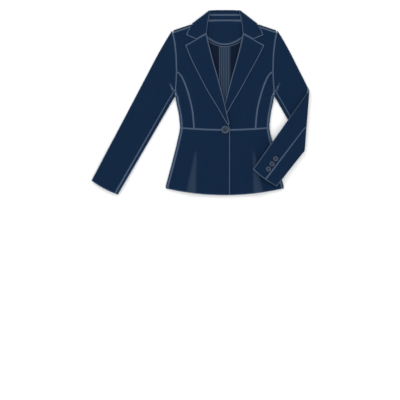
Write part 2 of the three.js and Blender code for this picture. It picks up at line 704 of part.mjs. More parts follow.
function buttonGeometry({ radius, height, sides }) {
  const profile = [
    [0, 0], [0.88, 0], [1, 0.35], [0.97, 0.85], [0.84, 1], [0.64, 0.68], [0, 0.62],
  ].map(([r, h]) => new THREE.Vector2(r * radius, h * height));
  let body = solid(new THREE.LatheGeometry(profile, sides).rotateX(Math.PI / 2));
  for (const [x, y] of [[-1, -1], [1, -1], [1, 1], [-1, 1]]) {
    const hole = new THREE.CylinderGeometry(0.08 * radius, 0.08 * radius, 3 * height, 6);
    hole.rotateX(Math.PI / 2).translate(0.2 * radius * x, 0.2 * radius * y, 0);
    body = body.subtract(solid(hole));
  }
  const cut = body.getMesh();
  const geometry = new THREE.BufferGeometry();
  geometry.setAttribute("position", new THREE.Float32BufferAttribute(cut.vertProperties, 3));
  geometry.setIndex([...cut.triVerts]);
  return geometry;
}

function makeButtons(straight, folded) {
  const top = frontTop(FRONT_BUTTON.x, FRONT_BUTTON.y) + BUTTON_GAP.front;
  const front = addMesh("front_button", buttonGeometry(FRONT_BUTTON), horn);
  front.position.set(FRONT_BUTTON.x, FRONT_BUTTON.y, top);
  [["right", -1, straight], ["left", 1, folded]].forEach(([hand, side, rows]) => {
    const cuff = rows[rows.length - 1];
    const before = rows[rows.length - 3];
    const way = unit(minus(before.outer, cuff.outer));
    for (let k = 0; k < 3; k++) {
      const name = `cuff_button_${hand}_${k + 1}`;
      const button = addMesh(name, buttonGeometry(CUFF_BUTTON), horn);
      const onCuff = mix(cuff.outer, cuff.inner, CUFF_BUTTON.across);
      const [x, y] = plus(onCuff, way, CUFF_BUTTON.fromCuff + k * CUFF_BUTTON.pitch);
      if (side < 0) {
        button.rotation.x = Math.PI;
        button.position.set(side * x, y, CUFF_BUTTON.height);
      } else {
        const over = foldOver(point(x, y, -SLEEVE.crown));
        button.position.set(side * over.x, over.y, over.z + BUTTON_GAP.cuff);
      }
    }
  });
}

for (const [side, hand] of [[-1, "right"], [1, "left"]]) {
  makeFront(side, `front_${hand}`);
  makeSideFront(side, `side_front_${hand}`);
  makeBack(side, `back_${hand}`);
  makeSideBack(side, `side_back_${hand}`);
  makePeplumFront(side, `peplum_front_${hand}`);
}
makePeplumBack("peplum_back");
const straight = straightRows();
const folded = foldedRows();
makeSleeve(-1, "right", straight, (p) => p);
makeSleeve(1, "left", folded, foldOver);
makeLapel(-1, "lapel_right");
makeLapel(1, "lapel_left");
makeCollar("collar");
makeNeck();
makeButtons(straight, folded);

// The origin is on the surface, under the middle of the jacket's outline
const whole = new THREE.Box3().setFromObject(group);
const middle = whole.getCenter(new THREE.Vector3());
group.position.set(-middle.x, -middle.y, -whole.min.z);

export default group;
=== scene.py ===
# %% [markdown]
# # A peplum jacket lying flat
#
# The jacket is navy suiting, single-breasted, with notched lapels and a flared peplum. It lies
# on its back, one sleeve straight and the other folded at the elbow across the front.
# The solids of the frame give its sizes. This lesson dresses them: every panel becomes a thin
# wall of cloth with rounded edges, soft creases and pressed seams, painted paler as a sheen.

import bmesh
import bpy
import numpy as np
from mathutils import Matrix, Vector


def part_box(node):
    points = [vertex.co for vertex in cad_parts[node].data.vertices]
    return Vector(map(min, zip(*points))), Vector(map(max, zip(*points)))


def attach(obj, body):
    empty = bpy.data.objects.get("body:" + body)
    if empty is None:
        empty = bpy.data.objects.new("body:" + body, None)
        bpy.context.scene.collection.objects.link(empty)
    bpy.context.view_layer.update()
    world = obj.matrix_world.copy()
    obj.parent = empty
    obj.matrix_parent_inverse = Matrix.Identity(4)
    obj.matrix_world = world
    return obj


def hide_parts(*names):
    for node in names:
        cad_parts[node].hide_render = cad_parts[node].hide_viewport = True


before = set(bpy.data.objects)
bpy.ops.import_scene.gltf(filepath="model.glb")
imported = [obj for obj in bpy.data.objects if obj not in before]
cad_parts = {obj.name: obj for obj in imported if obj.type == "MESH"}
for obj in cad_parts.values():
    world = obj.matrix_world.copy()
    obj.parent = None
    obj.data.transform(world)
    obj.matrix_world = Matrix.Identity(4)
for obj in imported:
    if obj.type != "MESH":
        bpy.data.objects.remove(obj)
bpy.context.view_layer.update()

# %% [markdown]
# ## Driving sizes
#
# A pattern cutter starts from a few measures. All lengths here are millimetres, with x = 0 on
# the centre line, y = 0 at the waist seam and z = 0 on the surface. The waist button lies at a
# known place there, so the frame's own button says how far to shift everything.

# %% Sizes of the cloth and of the body
MM = 0.001
CLOTH = 1.8  # wall of the suiting
LINING = 1.2  # wall of the lining
EDGE = 4.5  # radius of the soft fold at the silhouette edges
CROWN = 5.0  # the chest stands this much above the folded edges
SEAM = 0.2  # each panel stops this far short of its seam line
TURN = 2.4  # radius of the roll at lapels and collar
TURN_WALL = 2.0
OVERLAP = 19.0  # front edge past the centre line
WAIST_HALF, WAIST_RISE = 166.0, 8.0
SIDE_SEAM_IN, SHOULDER_SEAM_IN = 8.0, 4.0
LENGTH, HEM_RISE, HEM_HALF = 241.0, 25.0, 218.0
NECK_Y, STAND_Y, ROLL_Y = 405.0, 425.0, 443.8  # neck seam, stand seam and top of the collar
RETURN = ROLL_Y - STAND_Y  # collar inside the neck
COLLAR_LIFT = 3.0
BUTTON_AT = np.array([1.0, 0.5])

low, high = (np.array(c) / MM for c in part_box("front_button"))
SHIFT = np.append((low + high)[:2] / 2 - BUTTON_AT, 0.0)
print("shift from the pattern to the frame, mm:", SHIFT.round(2))

# %% Seam and edge lines, as x and y pairs from the centre line outwards
PRINCESS = [(113.4, 3.7), (116, 40), (120, 74), (128, 110), (139.5, 150), (150, 178), (161, 200),
            (170, 210.3), (178.3, 216.5)]
ARMHOLE = [(195, 367), (193.6, 362.5), (191, 352), (187, 335), (183.5, 308), (180.5, 279),
           (179.4, 250), (178.7, 219), (179.5, 195), (181, 172), (183, 150), (182.5, 135),
           (182.5, 129.5), (183, 125)]
ROLL = [(-17.5, 21), (-8, 60), (0, 97), (14, 150), (27, 200), (40, 245), (53, 295), (62, 332),
        (66, 354)]
LAPEL_EDGE = [(-10, 18), (12, 56), (33, 92), (65.5, 145), (92.5, 196), (114.5, 240), (131.5, 277),
              (140.5, 300), (146, 312)]
LEFT_LAPEL = {"narrower": 9, "top": 312, "run": 330}  # the left lapel's edge bows in more
SIDE_Y = [-216, -160, -100, -40, 9, 40, 65, 100, 125]
SIDE_HALF = [218, 204, 189, 175, 166, 168, 171.5, 179, 183]
FLUTE = {"x": 103, "y": -53, "hem_x": 123, "tip": 6, "half": 24, "rise": 8, "back_rise": 6}
# Wedge of painted highlight on each flute, where it faces up.
FLUTE_HIGHLIGHT = {"from_y": -60, "run": 171, "inner": 100, "outer": 110, "lean": 2, "flare": 38,
               "soft_in": 9, "soft_out": 13, "most": 0.2}
SHOULDER = {"x": 195, "y": 367, "slope": 0.33}
UNDER_COLLAR = {"x": 128, "over": 14, "dip": 3}  # the shoulder is this much lower there
NECK_TURN = {"x": 84, "over": 10}  # where the shoulder edge passes into the neck seam
BUST = {"x": 92, "y": 165, "wide": 46, "tall": 62, "rise": 3.2}
DOME = {"side": 45, "shoulder": 60}  # the dome has risen by two thirds this far from an edge
LEFT_UNDER = {"waist": 2.5, "chest": 6.0, "above": 18, "from_x": 72, "over": 48}
COLLAR_UNDER = {"from_y": 336, "over_y": 44, "x": 144, "over_x": 20}
print("princess seam of", len(PRINCESS), "marks, armhole of", len(ARMHOLE))


# %% [markdown]
# ## Curves through a few points
#
# A dressmaker's curve passes smoothly through a handful of marks. A cubic Hermite curve does the
# same: between two marks the value blends their heights and slopes, and each slope is taken
# from the neighbouring marks.

# %% Curve helpers
def smooth(t):
    """0 below 0, 1 above 1, and 3t^2 - 2t^3 between."""
    t = np.clip(t, 0, 1)
    return t * t * (3 - 2 * t)


def lerp(a, b, t):
    """a plus t times the way from a to b."""
    return a + (b - a) * t


def flow(xs, ys, v):
    """Hermite curve through the points (xs, ys), held at its ends; slopes are central differences."""
    xs, ys = np.asarray(xs, float), np.asarray(ys, float)
    slope = np.gradient(ys, xs)
    v = np.clip(v, xs[0], xs[-1])
    i = np.clip(np.searchsorted(xs, v, side="right") - 1, 0, len(xs) - 2)
    h = xs[i + 1] - xs[i]
    t = (v - xs[i]) / h
    a = (2 * t**3 - 3 * t**2 + 1) * ys[i] + (t**3 - 2 * t**2 + t) * h * slope[i]
    return a + (3 * t**2 - 2 * t**3) * ys[i + 1] + (t**3 - t**2) * h * slope[i + 1]


def rail(points, t):
    """Smooth line through 2D points at shares t of its length; returns an array of x, y rows."""
    p = np.asarray(points, float)
    run = np.append(0, np.cumsum(np.hypot(*np.diff(p, axis=0).T)))
    at = np.asarray(t) * run[-1]
    return np.stack([flow(run, p[:, 0], at), flow(run, p[:, 1], at)], -1)


def length(points):
    """Length of the polyline through the points."""
    return float(np.hypot(*np.diff(np.asarray(points, float), axis=0).T).sum())


print("princess seam, mm:", round(length(PRINCESS), 1), "armhole, mm:", round(length(ARMHOLE), 1))

# %% [markdown]
# ## The form that the cloth lies in
#
# Laid flat, a jacket is two layers with air between them. The front layer is a low dome: it
# starts at the height of the folded side edge and rises with the distance from the sides and
# the shoulder. The back layer lies on the surface. Flutes open from an apex below the waist.

# %% Heights of the two layers
def half_width(y):
    """Half the body's width at a height."""
    return flow(SIDE_Y, SIDE_HALF, y)


def waist_y(x):
    """The waist seam rises with the square of the distance from the centre."""
    return WAIST_RISE * (x / WAIST_HALF) ** 2


def hem_y(x):
    """So does the hem."""
    return -LENGTH + HEM_RISE * (x / HEM_HALF) ** 2


def shoulder_y(x):
    """A straight shoulder edge, a little lower where the collar covers it."""
    x = np.abs(x)
    edge = SHOULDER["y"] + SHOULDER["slope"] * (SHOULDER["x"] - x)
    return edge - UNDER_COLLAR["dip"] * smooth((UNDER_COLLAR["x"] - x) / UNDER_COLLAR["over"])


def back_top_y(x):
    """The shoulder edge, and between the shoulders the neck seam."""
    inside = smooth((NECK_TURN["x"] - np.abs(x)) / NECK_TURN["over"])
    return lerp(shoulder_y(x), NECK_Y, inside)


def flute(x, y, rise):
    """A squared cosine wave across, which widens and rises from the apex to the hem."""
    down = np.clip((FLUTE["y"] - y) / (LENGTH + FLUTE["y"]), 0, 1)
    half = FLUTE["tip"] + FLUTE["half"] * down
    off = (np.abs(x) - lerp(FLUTE["x"], FLUTE["hem_x"], down)) / half
    return np.where(np.abs(off) < 1, rise * down * np.cos(off * np.pi / 2) ** 2, 0)


def trough(x, y, start, end, wide, deep):
    """A soft crease: a Gaussian across the line from start to end, fading towards both ends."""
    a, b = np.array(start, float), np.array(end, float)
    run = np.hypot(*(b - a))
    way = (b - a) / run
    along = ((x - a[0]) * way[0] + (y - a[1]) * way[1]) / run
    off = -(x - a[0]) * way[1] + (y - a[1]) * way[0]
    fade = smooth(along / 0.3) * smooth((1 - along) / 0.3)
    return -deep * fade * np.exp(-((off / wide) ** 2))


# Creases of the front by side: x and y of both ends, width and depth
FRONT_CREASES = [
    (((28, 4), (150, 34)), 9, 0.9), (((24, 16), (120, 74)), 10, 0.8),
    (((172, 118), (132, 92)), 8, 0.9), (((158, 20), (112, 30)), 7, 0.8),
    (((172, 260), (118, 222)), 12, 0.8), (((150, 330), (120, 268)), 13, 0.6),
    (((30, -14), (86, -74)), 10, 0.9), (((158, -6), (120, -60)), 9, 1.0),
    (((52, -120), (60, -232)), 17, 1.5), (((178, -96), (192, -214)), 12, 1.3),
]


def front_top(x, y):
    """Outside of the front layer: edge height, plus a dome, a fuller bust, flutes and creases."""
    x = np.abs(x)
    from_side = np.maximum(0, half_width(y) - x)
    from_top = np.maximum(0, shoulder_y(x) - y)
    inside = 1 - np.exp(-from_side / DOME["side"])
    inside = inside * (1 - np.exp(-from_top / DOME["shoulder"]))
    off_x, off_y = (x - BUST["x"]) / BUST["wide"], (y - BUST["y"]) / BUST["tall"]
    bust = BUST["rise"] * np.exp(-(off_x**2) - off_y**2)
    z = 2 * EDGE + CROWN * inside + bust * inside + flute(x, y, FLUTE["rise"])
    return z + inside * sum(trough(x, y, *ends, wide, deep) for ends, wide, deep in FRONT_CREASES)


def back_floor(x, y):
    """Underside of the back layer: the surface, but for the collar under the neck and the flutes."""
    near = smooth((y - COLLAR_UNDER["from_y"]) / COLLAR_UNDER["over_y"])
    near = near * smooth((COLLAR_UNDER["x"] - np.abs(x)) / COLLAR_UNDER["over_x"])
    return COLLAR_LIFT * near + flute(x, y, FLUTE["back_rise"])


def sunk(x, y):
    """The wearer's left front lies this much lower near the centre, under the right front."""
    deep = lerp(LEFT_UNDER["waist"], LEFT_UNDER["chest"], smooth(y / LEFT_UNDER["above"]))
    return deep * smooth((LEFT_UNDER["from_x"] - x) / LEFT_UNDER["over"])


bust_top = front_top(np.array(float(BUST["x"])), np.array(float(BUST["y"])))
print("front layer at the bust, mm:", round(float(bust_top), 1))


# %% [markdown]
# ## Cloth as a closed wall
#
# A panel could be a plane with a Solidify modifier, but then its cut edges are square. Here the
# surface is worked out twice on one grid: once for the outside and once for the inside. Near
# each cut edge the two close on each other along a circle, so that the cloth ends in a soft
# round edge. Each point also keeps how far it is from the nearest cut edge. The finish reads
# that: a pressed seam is painted as a paler line, a painted sheen of its flattened nap.

# %% Grids with close lines near their edges
NEAR = np.array([0, 0.25, 0.8, 1.7, 3.0])  # distances from a cut edge, mm


def stations(width, inner):
    """Distances from the left edge: NEAR, then evenly spaced ones, then NEAR from the right."""
    width = np.asarray(width, float)[..., None]
    near = np.minimum(NEAR, width * NEAR / NEAR[-1] * 0.3)
    even = lerp(near[..., -1:], width - near[..., -1:], np.linspace(0, 1, inner + 2)[1:-1])
    return np.concatenate([near, even, width - near[..., ::-1]], -1)


def end_rows(run, inner):
    """Shares of a rail's length with close rows near both ends."""
    return stations(run, inner) / run


def closing(distance, thick):
    """How far each face sinks into the wall near its cut edge: a quarter circle of half the wall."""
    t = np.clip(distance / (thick / 2), 0, 1)
    return thick / 2 * (1 - np.sqrt(1 - (1 - t) ** 2))


# Pressed edges are painted paler, a painted sheen of their flattened nap; the painted highlights use the
# same width.
LINE = (1.9, 3.1)  # a pressed edge is pale up to the first distance and plain past the second
def paint(distance):
    """1 within the width of a painted pale line, 0 past it."""
    return 1 - smooth((distance - LINE[0]) / (LINE[1] - LINE[0]))


def outline(angle):
    """Painted rim highlight along a turned silhouette: 1 where the turn is within a line of the
    outermost.
    """
    return paint(EDGE * (1 - np.cos(angle))) * (np.abs(angle) < 1.5)


print("a wall of", CLOTH, "mm closes over", CLOTH / 2, "mm at its cut edges")

# %% [markdown]
# ### From a surface to a mesh
#
# A wall's mesh is its outside grid and its inside grid, turned the other way. At a cut edge their
# points coincide, so welding them closes the wall. The distances along the two directions of the
# grid are kept as weft and warp, in millimetres, and they also give the flat size of the cut.

# %% Walls of cloth
shown = []  # every piece, in the order in which it is made
cuts = {}  # width, length and flat area of each wall of cloth, in metres


def cloth_wall(name, surface, edge_mm, thick, cells=None, marks=0):
    """Mesh of a wall: surface(depth) gives the points of a grid at a depth below the outside."""
    drop = closing(edge_mm, thick)
    outer, inner = surface(drop), surface(thick - drop)
    rows, cols = edge_mm.shape
    i, j = np.mgrid[0 : rows - 1, 0 : cols - 1]
    keep = np.ones(i.shape, bool) if cells is None else cells
    a = (i * cols + j)[keep]
    quads = np.stack([a, a + 1, a + cols + 1, a + cols], -1)
    points = np.concatenate([outer.reshape(-1, 3), inner.reshape(-1, 3)])
    faces = np.concatenate([quads, quads[:, ::-1] + rows * cols])
    along = np.cumsum(np.linalg.norm(np.diff(outer, axis=0, prepend=outer[:1]), axis=-1), 0)
    across = np.cumsum(np.linalg.norm(np.diff(outer, axis=1, prepend=outer[:, :1]), axis=-1), 1)
    mesh = bpy.data.meshes.new(name)
    mesh.from_pydata(((points + SHIFT) * MM).tolist(), [], faces.tolist())
    # The painted sheen along the pressed cut edges and the painted highlights in marks are kept as one
    # paler share.
    pale = np.maximum(paint(edge_mm), marks)
    values = {"pressed": pale, "weft": across, "warp": along}
    for label, value in values.items():
        layer = mesh.attributes.new(label, "FLOAT", "POINT")
        layer.data.foreach_set("value", np.tile(value.ravel(), 2).astype(np.float32))
    piece = finish_mesh(name, mesh)
    area = sum(face.area for face in mesh.polygons) / 2
    wide, tall = across[:, -1].max() * MM, along[-1].max() * MM
    cuts[name] = (wide, tall, min(area, wide * tall))
    return piece


def finish_mesh(name, mesh):
    """Weld the closed edges, drop loose points, turn every face outwards and shade it smoothly."""
    bm = bmesh.new()
    bm.from_mesh(mesh)
    bmesh.ops.remove_doubles(bm, verts=bm.verts, dist=2e-6)
    bmesh.ops.dissolve_degenerate(bm, edges=bm.edges, dist=1e-6)
    loose = [v for v in bm.verts if not v.link_faces]
    bmesh.ops.delete(bm, geom=loose, context="VERTS")
    bmesh.ops.recalc_face_normals(bm, faces=bm.faces)
    bm.to_mesh(mesh)
    bm.free()
    mesh.shade_smooth()
    piece = bpy.data.objects.new(name, mesh)
    bpy.context.scene.collection.objects.link(piece)
    shown.append(piece)
    return piece


print("walls keep weft, warp and pressed at each point")

# %% [markdown]
# ## Bodice and peplum
#
# The fronts run from the roll line to the princess seam and the armhole. The side fronts fill
# the rest. A grid between two rails gives each its outline: every row starts on one rail and
# ends on the other, and its height is the front layer's.

# %% Panels between two rails
def between(left, right, rows_mm, cols):
    """Points and edge distances of a grid: row k runs from left[k] to right[k]."""
    width = np.hypot(*(right - left).T)
    at = stations(width, cols)
    share = (at / width[:, None])[..., None]
    xy = left[:, None] * (1 - share) + right[:, None] * share
    side = np.minimum(at, width[:, None] - at)
    end = np.minimum(rows_mm, rows_mm[-1] - rows_mm)[:, None]
    return xy[..., 0], xy[..., 1], np.minimum(side, end)


def panel(name, side, left, right, rows_mm, cols, height, thick=CLOTH, place=None):
    """A wall over the grid between two rails, mirrored for the wearer's right side."""
    x, y, edge_mm = between(left, right, rows_mm, cols)
    if place is not None:
        x, y = place(x, y)
    z = height(x, y)
    return cloth_wall(name, lambda d: np.stack([side * x, y, z - d], -1), edge_mm, thick)


def seam_in(points, amount):
    """A rail moved sideways by the seam's gap."""
    return points + np.array([amount, 0.0])


def make_front(side, name):
    """Front panel: princess seam, then armhole, against front edge, roll line and neck."""
    armhole = [p for p in reversed(ARMHOLE[2:7])]
    lower, upper = PRINCESS, [PRINCESS[-1], (178.9, 222)] + armhole + [(192.3, 359.5)]
    run = length(lower), length(upper)
    low_t, up_t = end_rows(run[0], 56), end_rows(run[1], 40)
    right = np.concatenate([rail(lower, low_t[:-4]), rail(upper, up_t[1:])])
    rows_mm = np.concatenate([low_t[:-4] * run[0], run[0] + up_t[1:] * run[1]])
    share = rows_mm / rows_mm[-1]
    roll = np.array(ROLL, float)
    inner = [(-OVERLAP, 2)] + [(x + TURN + 0.4, y) for x, y in roll[:6]]
    inner += [(53 + TURN + 0.4, 292), (62.5 + TURN, 333), (68 + TURN, 356), (73 + TURN, 378)]
    inner += [(78, 397)]
    left = rail(inner, share)
    top = shoulder_y(right[-1, 0]) - EDGE - SHOULDER_SEAM_IN - 2 * SEAM
    right[:, 1] += smooth((share - 0.9) / 0.1) * (top - right[-1, 1])

    def place(x, y):
        """The first rows follow the waist seam and the last rows the shoulder seam."""
        first = (1 - smooth(share / 0.08))[:, None]
        last = smooth((share - 0.9) / 0.1)[:, None]
        goal = shoulder_y(x) - EDGE - SHOULDER_SEAM_IN - 2 * SEAM
        y = y + first * (waist_y(x) + SEAM - y[:1])
        return x, y + last * (goal - y[-1:])

    height = lambda x, y: front_top(x, y) - (sunk(x, y) if side > 0 else 0)
    right = seam_in(right, -SEAM)
    return panel(name, side, left, right, rows_mm, 26, height, place=place)


def side_rails(inner):
    """Rails of a side panel: princess seam, and side seam then lower armhole."""
    seam = [(half_width(np.array(y)) - SIDE_SEAM_IN, y) for y in (7.5, 30, 55, 80, 104, 122)]
    outer = [(float(x), y) for x, y in seam] + [(179, 131), (182.6, 150), (181, 172), (179.5, 195)]
    outer += [(178.7, 213.5)]
    rows = end_rows(length(PRINCESS), inner)
    left = rail(PRINCESS[:-1] + [(176.6, 214.0)], rows)
    return seam_in(left, SEAM), seam_in(rail(outer, rows), -SEAM), rows * length(PRINCESS)


def make_side_front(side, name):
    """Side front panel."""
    left, right, rows_mm = side_rails(70)
    first = (1 - smooth(rows_mm / 25))[:, None]
    place = lambda x, y: (x, y + first * (waist_y(x) + SEAM - y[:1]))
    return panel(name, side, left, right, rows_mm, 9, front_top, place=place)


for side, hand in ((-1, "right"), (1, "left")):
    make_front(side, f"Front_{hand}")
    make_side_front(side, f"Side_front_{hand}")
print("bodice fronts:", [len(o.data.polygons) for o in shown])

# %% [markdown]
# ### Backs
#
# The shoulder seam lies a little in front of the shoulder edge, so each back turns over that edge.
# Its last rows go round half a circle. Near the neck they only run up to the neck seam: the share
# of the turn fades to nothing there, and the rows are spread flat instead.

# %% Backs, which turn over the shoulder edge
def make_back(side, name):
    """Back panel: flat, then half a circle round the shoulder edge, then flat to the seam."""
    outer = PRINCESS[:-1] + [(178.4, 221)] + [p for p in reversed(ARMHOLE[2:7])]
    run = length(outer)
    rows = end_rows(run, 90)[:-4]
    right = seam_in(rail(outer, rows), -SEAM)
    turn_t = np.concatenate([np.linspace(0, 1, 13)[1:], np.ones(5)])
    on_top = np.concatenate([np.zeros(12), SHOULDER_SEAM_IN - NEAR[::-1]])
    x_end = right[-1, 0]
    width = np.append(right[:, 0], np.full(len(turn_t), x_end)) - SEAM
    x = SEAM + stations(width, 24)
    centre_y = np.interp(rows, [0, 0.16, 0.4, 0.6, 0.8, 1], [0, 60, 150, 232, 318, 384])
    share = x[: len(rows)] / right[:, :1]
    y_flat = lerp(centre_y[:, None], right[:, 1:], share)
    first = (1 - smooth(rows / 0.06))[:, None]
    y_flat = y_flat + first * (waist_y(x[: len(rows)]) + SEAM - y_flat[:1])
    x_turn = x[len(rows) :]
    top = back_top_y(x_turn)
    floor = back_floor(x_turn, top - EDGE)
    radius = (2 * EDGE - floor) / 2
    over = smooth((x_turn - 78) / 22)
    meet = smooth((rows - 0.86) / 0.14)[:, None]
    y_flat = y_flat + meet * ((top - radius)[:1] - y_flat[-1:])
    angle = turn_t[:, None] * np.pi * over
    ahead = (1 - over) * (np.arange(1, len(turn_t) + 1) / (len(turn_t) + 1))[:, None]
    ahead = ahead * (radius - SEAM)
    end = (rows * run)[:, None]
    last_mm = np.concatenate([NEAR[-1] + 1.2 * np.arange(12, 0, -1), NEAR[::-1]])[:, None]
    side_mm = np.minimum(x - SEAM, width[:, None] - (x - SEAM))
    end_mm = np.concatenate([np.broadcast_to(end, y_flat.shape), last_mm * np.ones_like(x_turn)])
    edge_mm = np.minimum(side_mm, end_mm)

    def surface(depth):
        """Flat rows at the back's height; turned rows at radius less depth round the shoulder edge."""
        flat_d, turn_d = depth[: len(rows)], depth[len(rows) :]
        z_flat = back_floor(x[: len(rows)], y_flat) + flat_d
        y_turn = top - radius + (radius - turn_d) * np.sin(angle) + ahead
        y_turn = y_turn - on_top[:, None] * over**4
        z_turn = floor + radius - (radius - turn_d) * np.cos(angle)
        y = np.concatenate([y_flat, y_turn])
        return np.stack([side * x, y, np.concatenate([z_flat, z_turn])], -1)

    return cloth_wall(name, surface, edge_mm, CLOTH)


for side, hand in ((-1, "right"), (1, "left")):
    back = make_back(side, f"Back_{hand}")
    print(back.name, len(back.data.polygons), "faces")

# %% [markdown]
# ## Panels that go round the side
#
# The side backs and the back of the peplum lie on the surface, turn up round the silhouette in
# half a circle and end at the side seam on top. Across such a panel a column is flat, on the
# turn, or on top; the depth below the outside shortens the turn's radius.

# %% Side backs
def round_side(flat_x, edge, seam_x, depth, floor, cols):
    """x and z of the columns: flat, then half a circle of radius EDGE less the depth, then flat."""
    n_flat, n_turn, n_top = cols
    angle = np.linspace(-np.pi / 2, np.pi / 2, n_turn + 2)[1:-1]
    d_flat, d_turn, d_top = np.split(depth, [n_flat, n_flat + n_turn], axis=-1)
    x_turn = edge[:, None] - EDGE + (EDGE - d_turn) * np.cos(angle)
    z_turn = EDGE + (EDGE - d_turn) * np.sin(angle)
    ease = np.clip(NEAR[::-1][-n_top:] / NEAR[-1], 0, 1)
    x_top = lerp(seam_x[:, None], (edge - EDGE)[:, None], ease)
    x = np.concatenate([flat_x, x_turn, x_top], -1)
    return x, np.concatenate([floor + d_flat, z_turn, 2 * EDGE - d_top], -1)


def side_rim_highlight(n_flat, n_turn, n_top):
    """The painted rim highlight on the turned columns."""
    angle = np.linspace(-np.pi / 2, np.pi / 2, n_turn + 2)[1:-1]
    return np.concatenate([np.zeros(n_flat), outline(angle) * (angle > -0.6), np.zeros(n_top)])


def side_distance(flat_mm, edge, seam_x, n_turn):
    """Distance from the side seam of the turned and top columns, and flat_mm for the flat ones."""
    top = NEAR[::-1] / NEAR[-1] * (edge - EDGE - seam_x)[:, None]
    turn = top[:, :1] + EDGE * np.linspace(np.pi, 0, n_turn + 2)[1:-1]
    return np.concatenate([flat_mm, turn, top], -1)


def make_side_back(side, name):
    """Side back: turned at the side up to the underarm, flat to the armhole above it."""
    left, right, rows_mm = side_rails(70)
    low_rows = right[:, 1] < 128.5
    n = int(low_rows.sum())
    edge = half_width(right[:, 1])
    flat_end = np.where(low_rows, edge - EDGE, right[:, 0])
    width = flat_end - left[:, 0]
    at = stations(width, 9)
    flat_x = left[:, :1] + at
    n_flat, n_turn, n_top = flat_x.shape[1], 7, len(NEAR)
    seam_x = np.minimum(right[:, 0] + 2 * SEAM, edge - EDGE - 0.3)
    share = at / width[:, None]
    flat_y = lerp(left[:, 1:], right[:, 1:], share)
    first = (1 - smooth(rows_mm / 25))[:, None]
    flat_y = flat_y + first * (waist_y(flat_x) + SEAM - flat_y[:1])
    y = np.concatenate([flat_y, np.repeat(flat_y[:, -1:], n_turn + n_top, 1)], -1)
    far = np.where(low_rows[:, None], 99.0, width[:, None] - at)
    side_mm = side_distance(np.minimum(at, far), edge, seam_x, n_turn)
    end = np.minimum(rows_mm, rows_mm[-1] - rows_mm)[:, None]
    to_underarm = np.clip(rows_mm[n - 1] - rows_mm, 0, None)[:, None]
    turned_end = np.minimum(end, to_underarm)
    end_mm = np.concatenate([np.repeat(end, n_flat, 1), np.repeat(turned_end, n_turn + n_top, 1)], 1)
    edge_mm = np.minimum(side_mm, end_mm)
    cells = np.ones((len(rows_mm) - 1, n_flat + n_turn + n_top - 1), bool)
    cells[n - 1 :, n_flat - 1 :] = False

    def surface(depth):
        """Columns of round_side: r cos(a) out from the axis and r sin(a) up, with r = EDGE - depth."""
        x, z = round_side(flat_x, edge, seam_x, depth, 0.0, (n_flat, n_turn, n_top))
        return np.stack([side * x, y, z], -1)

    # The turned side carries a painted rim highlight.
    return cloth_wall(name, surface, edge_mm, CLOTH, cells, side_rim_highlight(n_flat, n_turn, n_top))


for side, hand in ((-1, "right"), (1, "left")):
    side_back = make_side_back(side, f"Side_back_{hand}")
    print(side_back.name, len(side_back.data.polygons), "faces")

# %% [markdown]
# ### Peplum
#
# The peplum flares from the waist seam to a hem that rises towards the sides. Its fronts end at
# the side seam, and its back is one piece that comes round both sides. Where a flute faces up, a
# wedge of the cloth is painted paler: a painted highlight of the light on the flute.

# %% Peplum
peplum_v = end_rows(LENGTH, 56)
print("rows of the peplum:", len(peplum_v))


def peplum_y(x, v):
    """From the waist seam to the hem."""
    return lerp(waist_y(x) - SEAM, hem_y(x), v)


def painted_flute_highlight(x, y):
    """Painted highlight where the flute faces up: a paler wedge that opens to the hem."""
    light = FLUTE_HIGHLIGHT
    down = np.clip((light["from_y"] - y) / light["run"], 0, 1.1)
    inner = light["inner"] + light["lean"] * down
    outer = light["outer"] + light["flare"] * down
    wedge = smooth((x - inner) / light["soft_in"]) * smooth((outer - x) / light["soft_out"])
    return light["most"] * wedge * smooth(down / 0.2)


def make_peplum_front(side, name):
    """From the front edge to the side seam."""
    side_x = half_width(peplum_y(WAIST_HALF, peplum_v)) - SIDE_SEAM_IN - SEAM
    at = stations(side_x + OVERLAP, 52)
    x = at - OVERLAP
    y = peplum_y(x, peplum_v[:, None])
    rows_mm = peplum_v * LENGTH
    end = np.minimum(rows_mm, rows_mm[-1] - rows_mm)[:, None]
    edge_mm = np.minimum(np.minimum(at, (side_x + OVERLAP)[:, None] - at), end)
    z = front_top(x, y) - (sunk(x, y) if side > 0 else 0)
    # A painted highlight lightens the side of each flute that faces up.
    marks = painted_flute_highlight(x, y)
    return cloth_wall(name, lambda d: np.stack([side * x, y, z - d], -1), edge_mm, CLOTH, marks=marks)


def make_peplum_back(name):
    """One piece from side seam to side seam, flat but for the flutes."""
    edge = half_width(peplum_y(WAIST_HALF, peplum_v))
    flat_x = np.linspace(0, 1, 46) * (edge - EDGE)[:, None]
    n_flat, n_turn, n_top = flat_x.shape[1], 7, len(NEAR)
    seam_x = edge - SIDE_SEAM_IN + SEAM
    rows_mm = peplum_v * LENGTH
    end = np.minimum(rows_mm, rows_mm[-1] - rows_mm)[:, None]
    half = np.minimum(side_distance(flat_x * 0 + 99, edge, seam_x, n_turn), end)
    edge_mm = np.concatenate([half[:, :0:-1], half], 1)

    def surface(depth):
        """The half panel made twice: the second time mirrored, and joined at the centre column."""
        walls = []
        middle = depth.shape[1] // 2
        for side, d in ((-1, depth[:, middle::-1]), (1, depth[:, middle:])):
            y_flat = peplum_y(flat_x, peplum_v[:, None])
            floor = back_floor(flat_x, y_flat)
            x, z = round_side(flat_x, edge, seam_x, d, floor, (n_flat, n_turn, n_top))
            walls.append(np.stack([side * x, peplum_y(x, peplum_v[:, None]), z], -1))
        return np.concatenate([walls[0][:, :0:-1], walls[1]], 1)

    # Both turned sides carry a painted rim highlight.
    half = side_rim_highlight(n_flat, n_turn, n_top)
    marks = np.concatenate([half[:0:-1], half])
    return cloth_wall(name, surface, edge_mm, CLOTH, marks=marks)


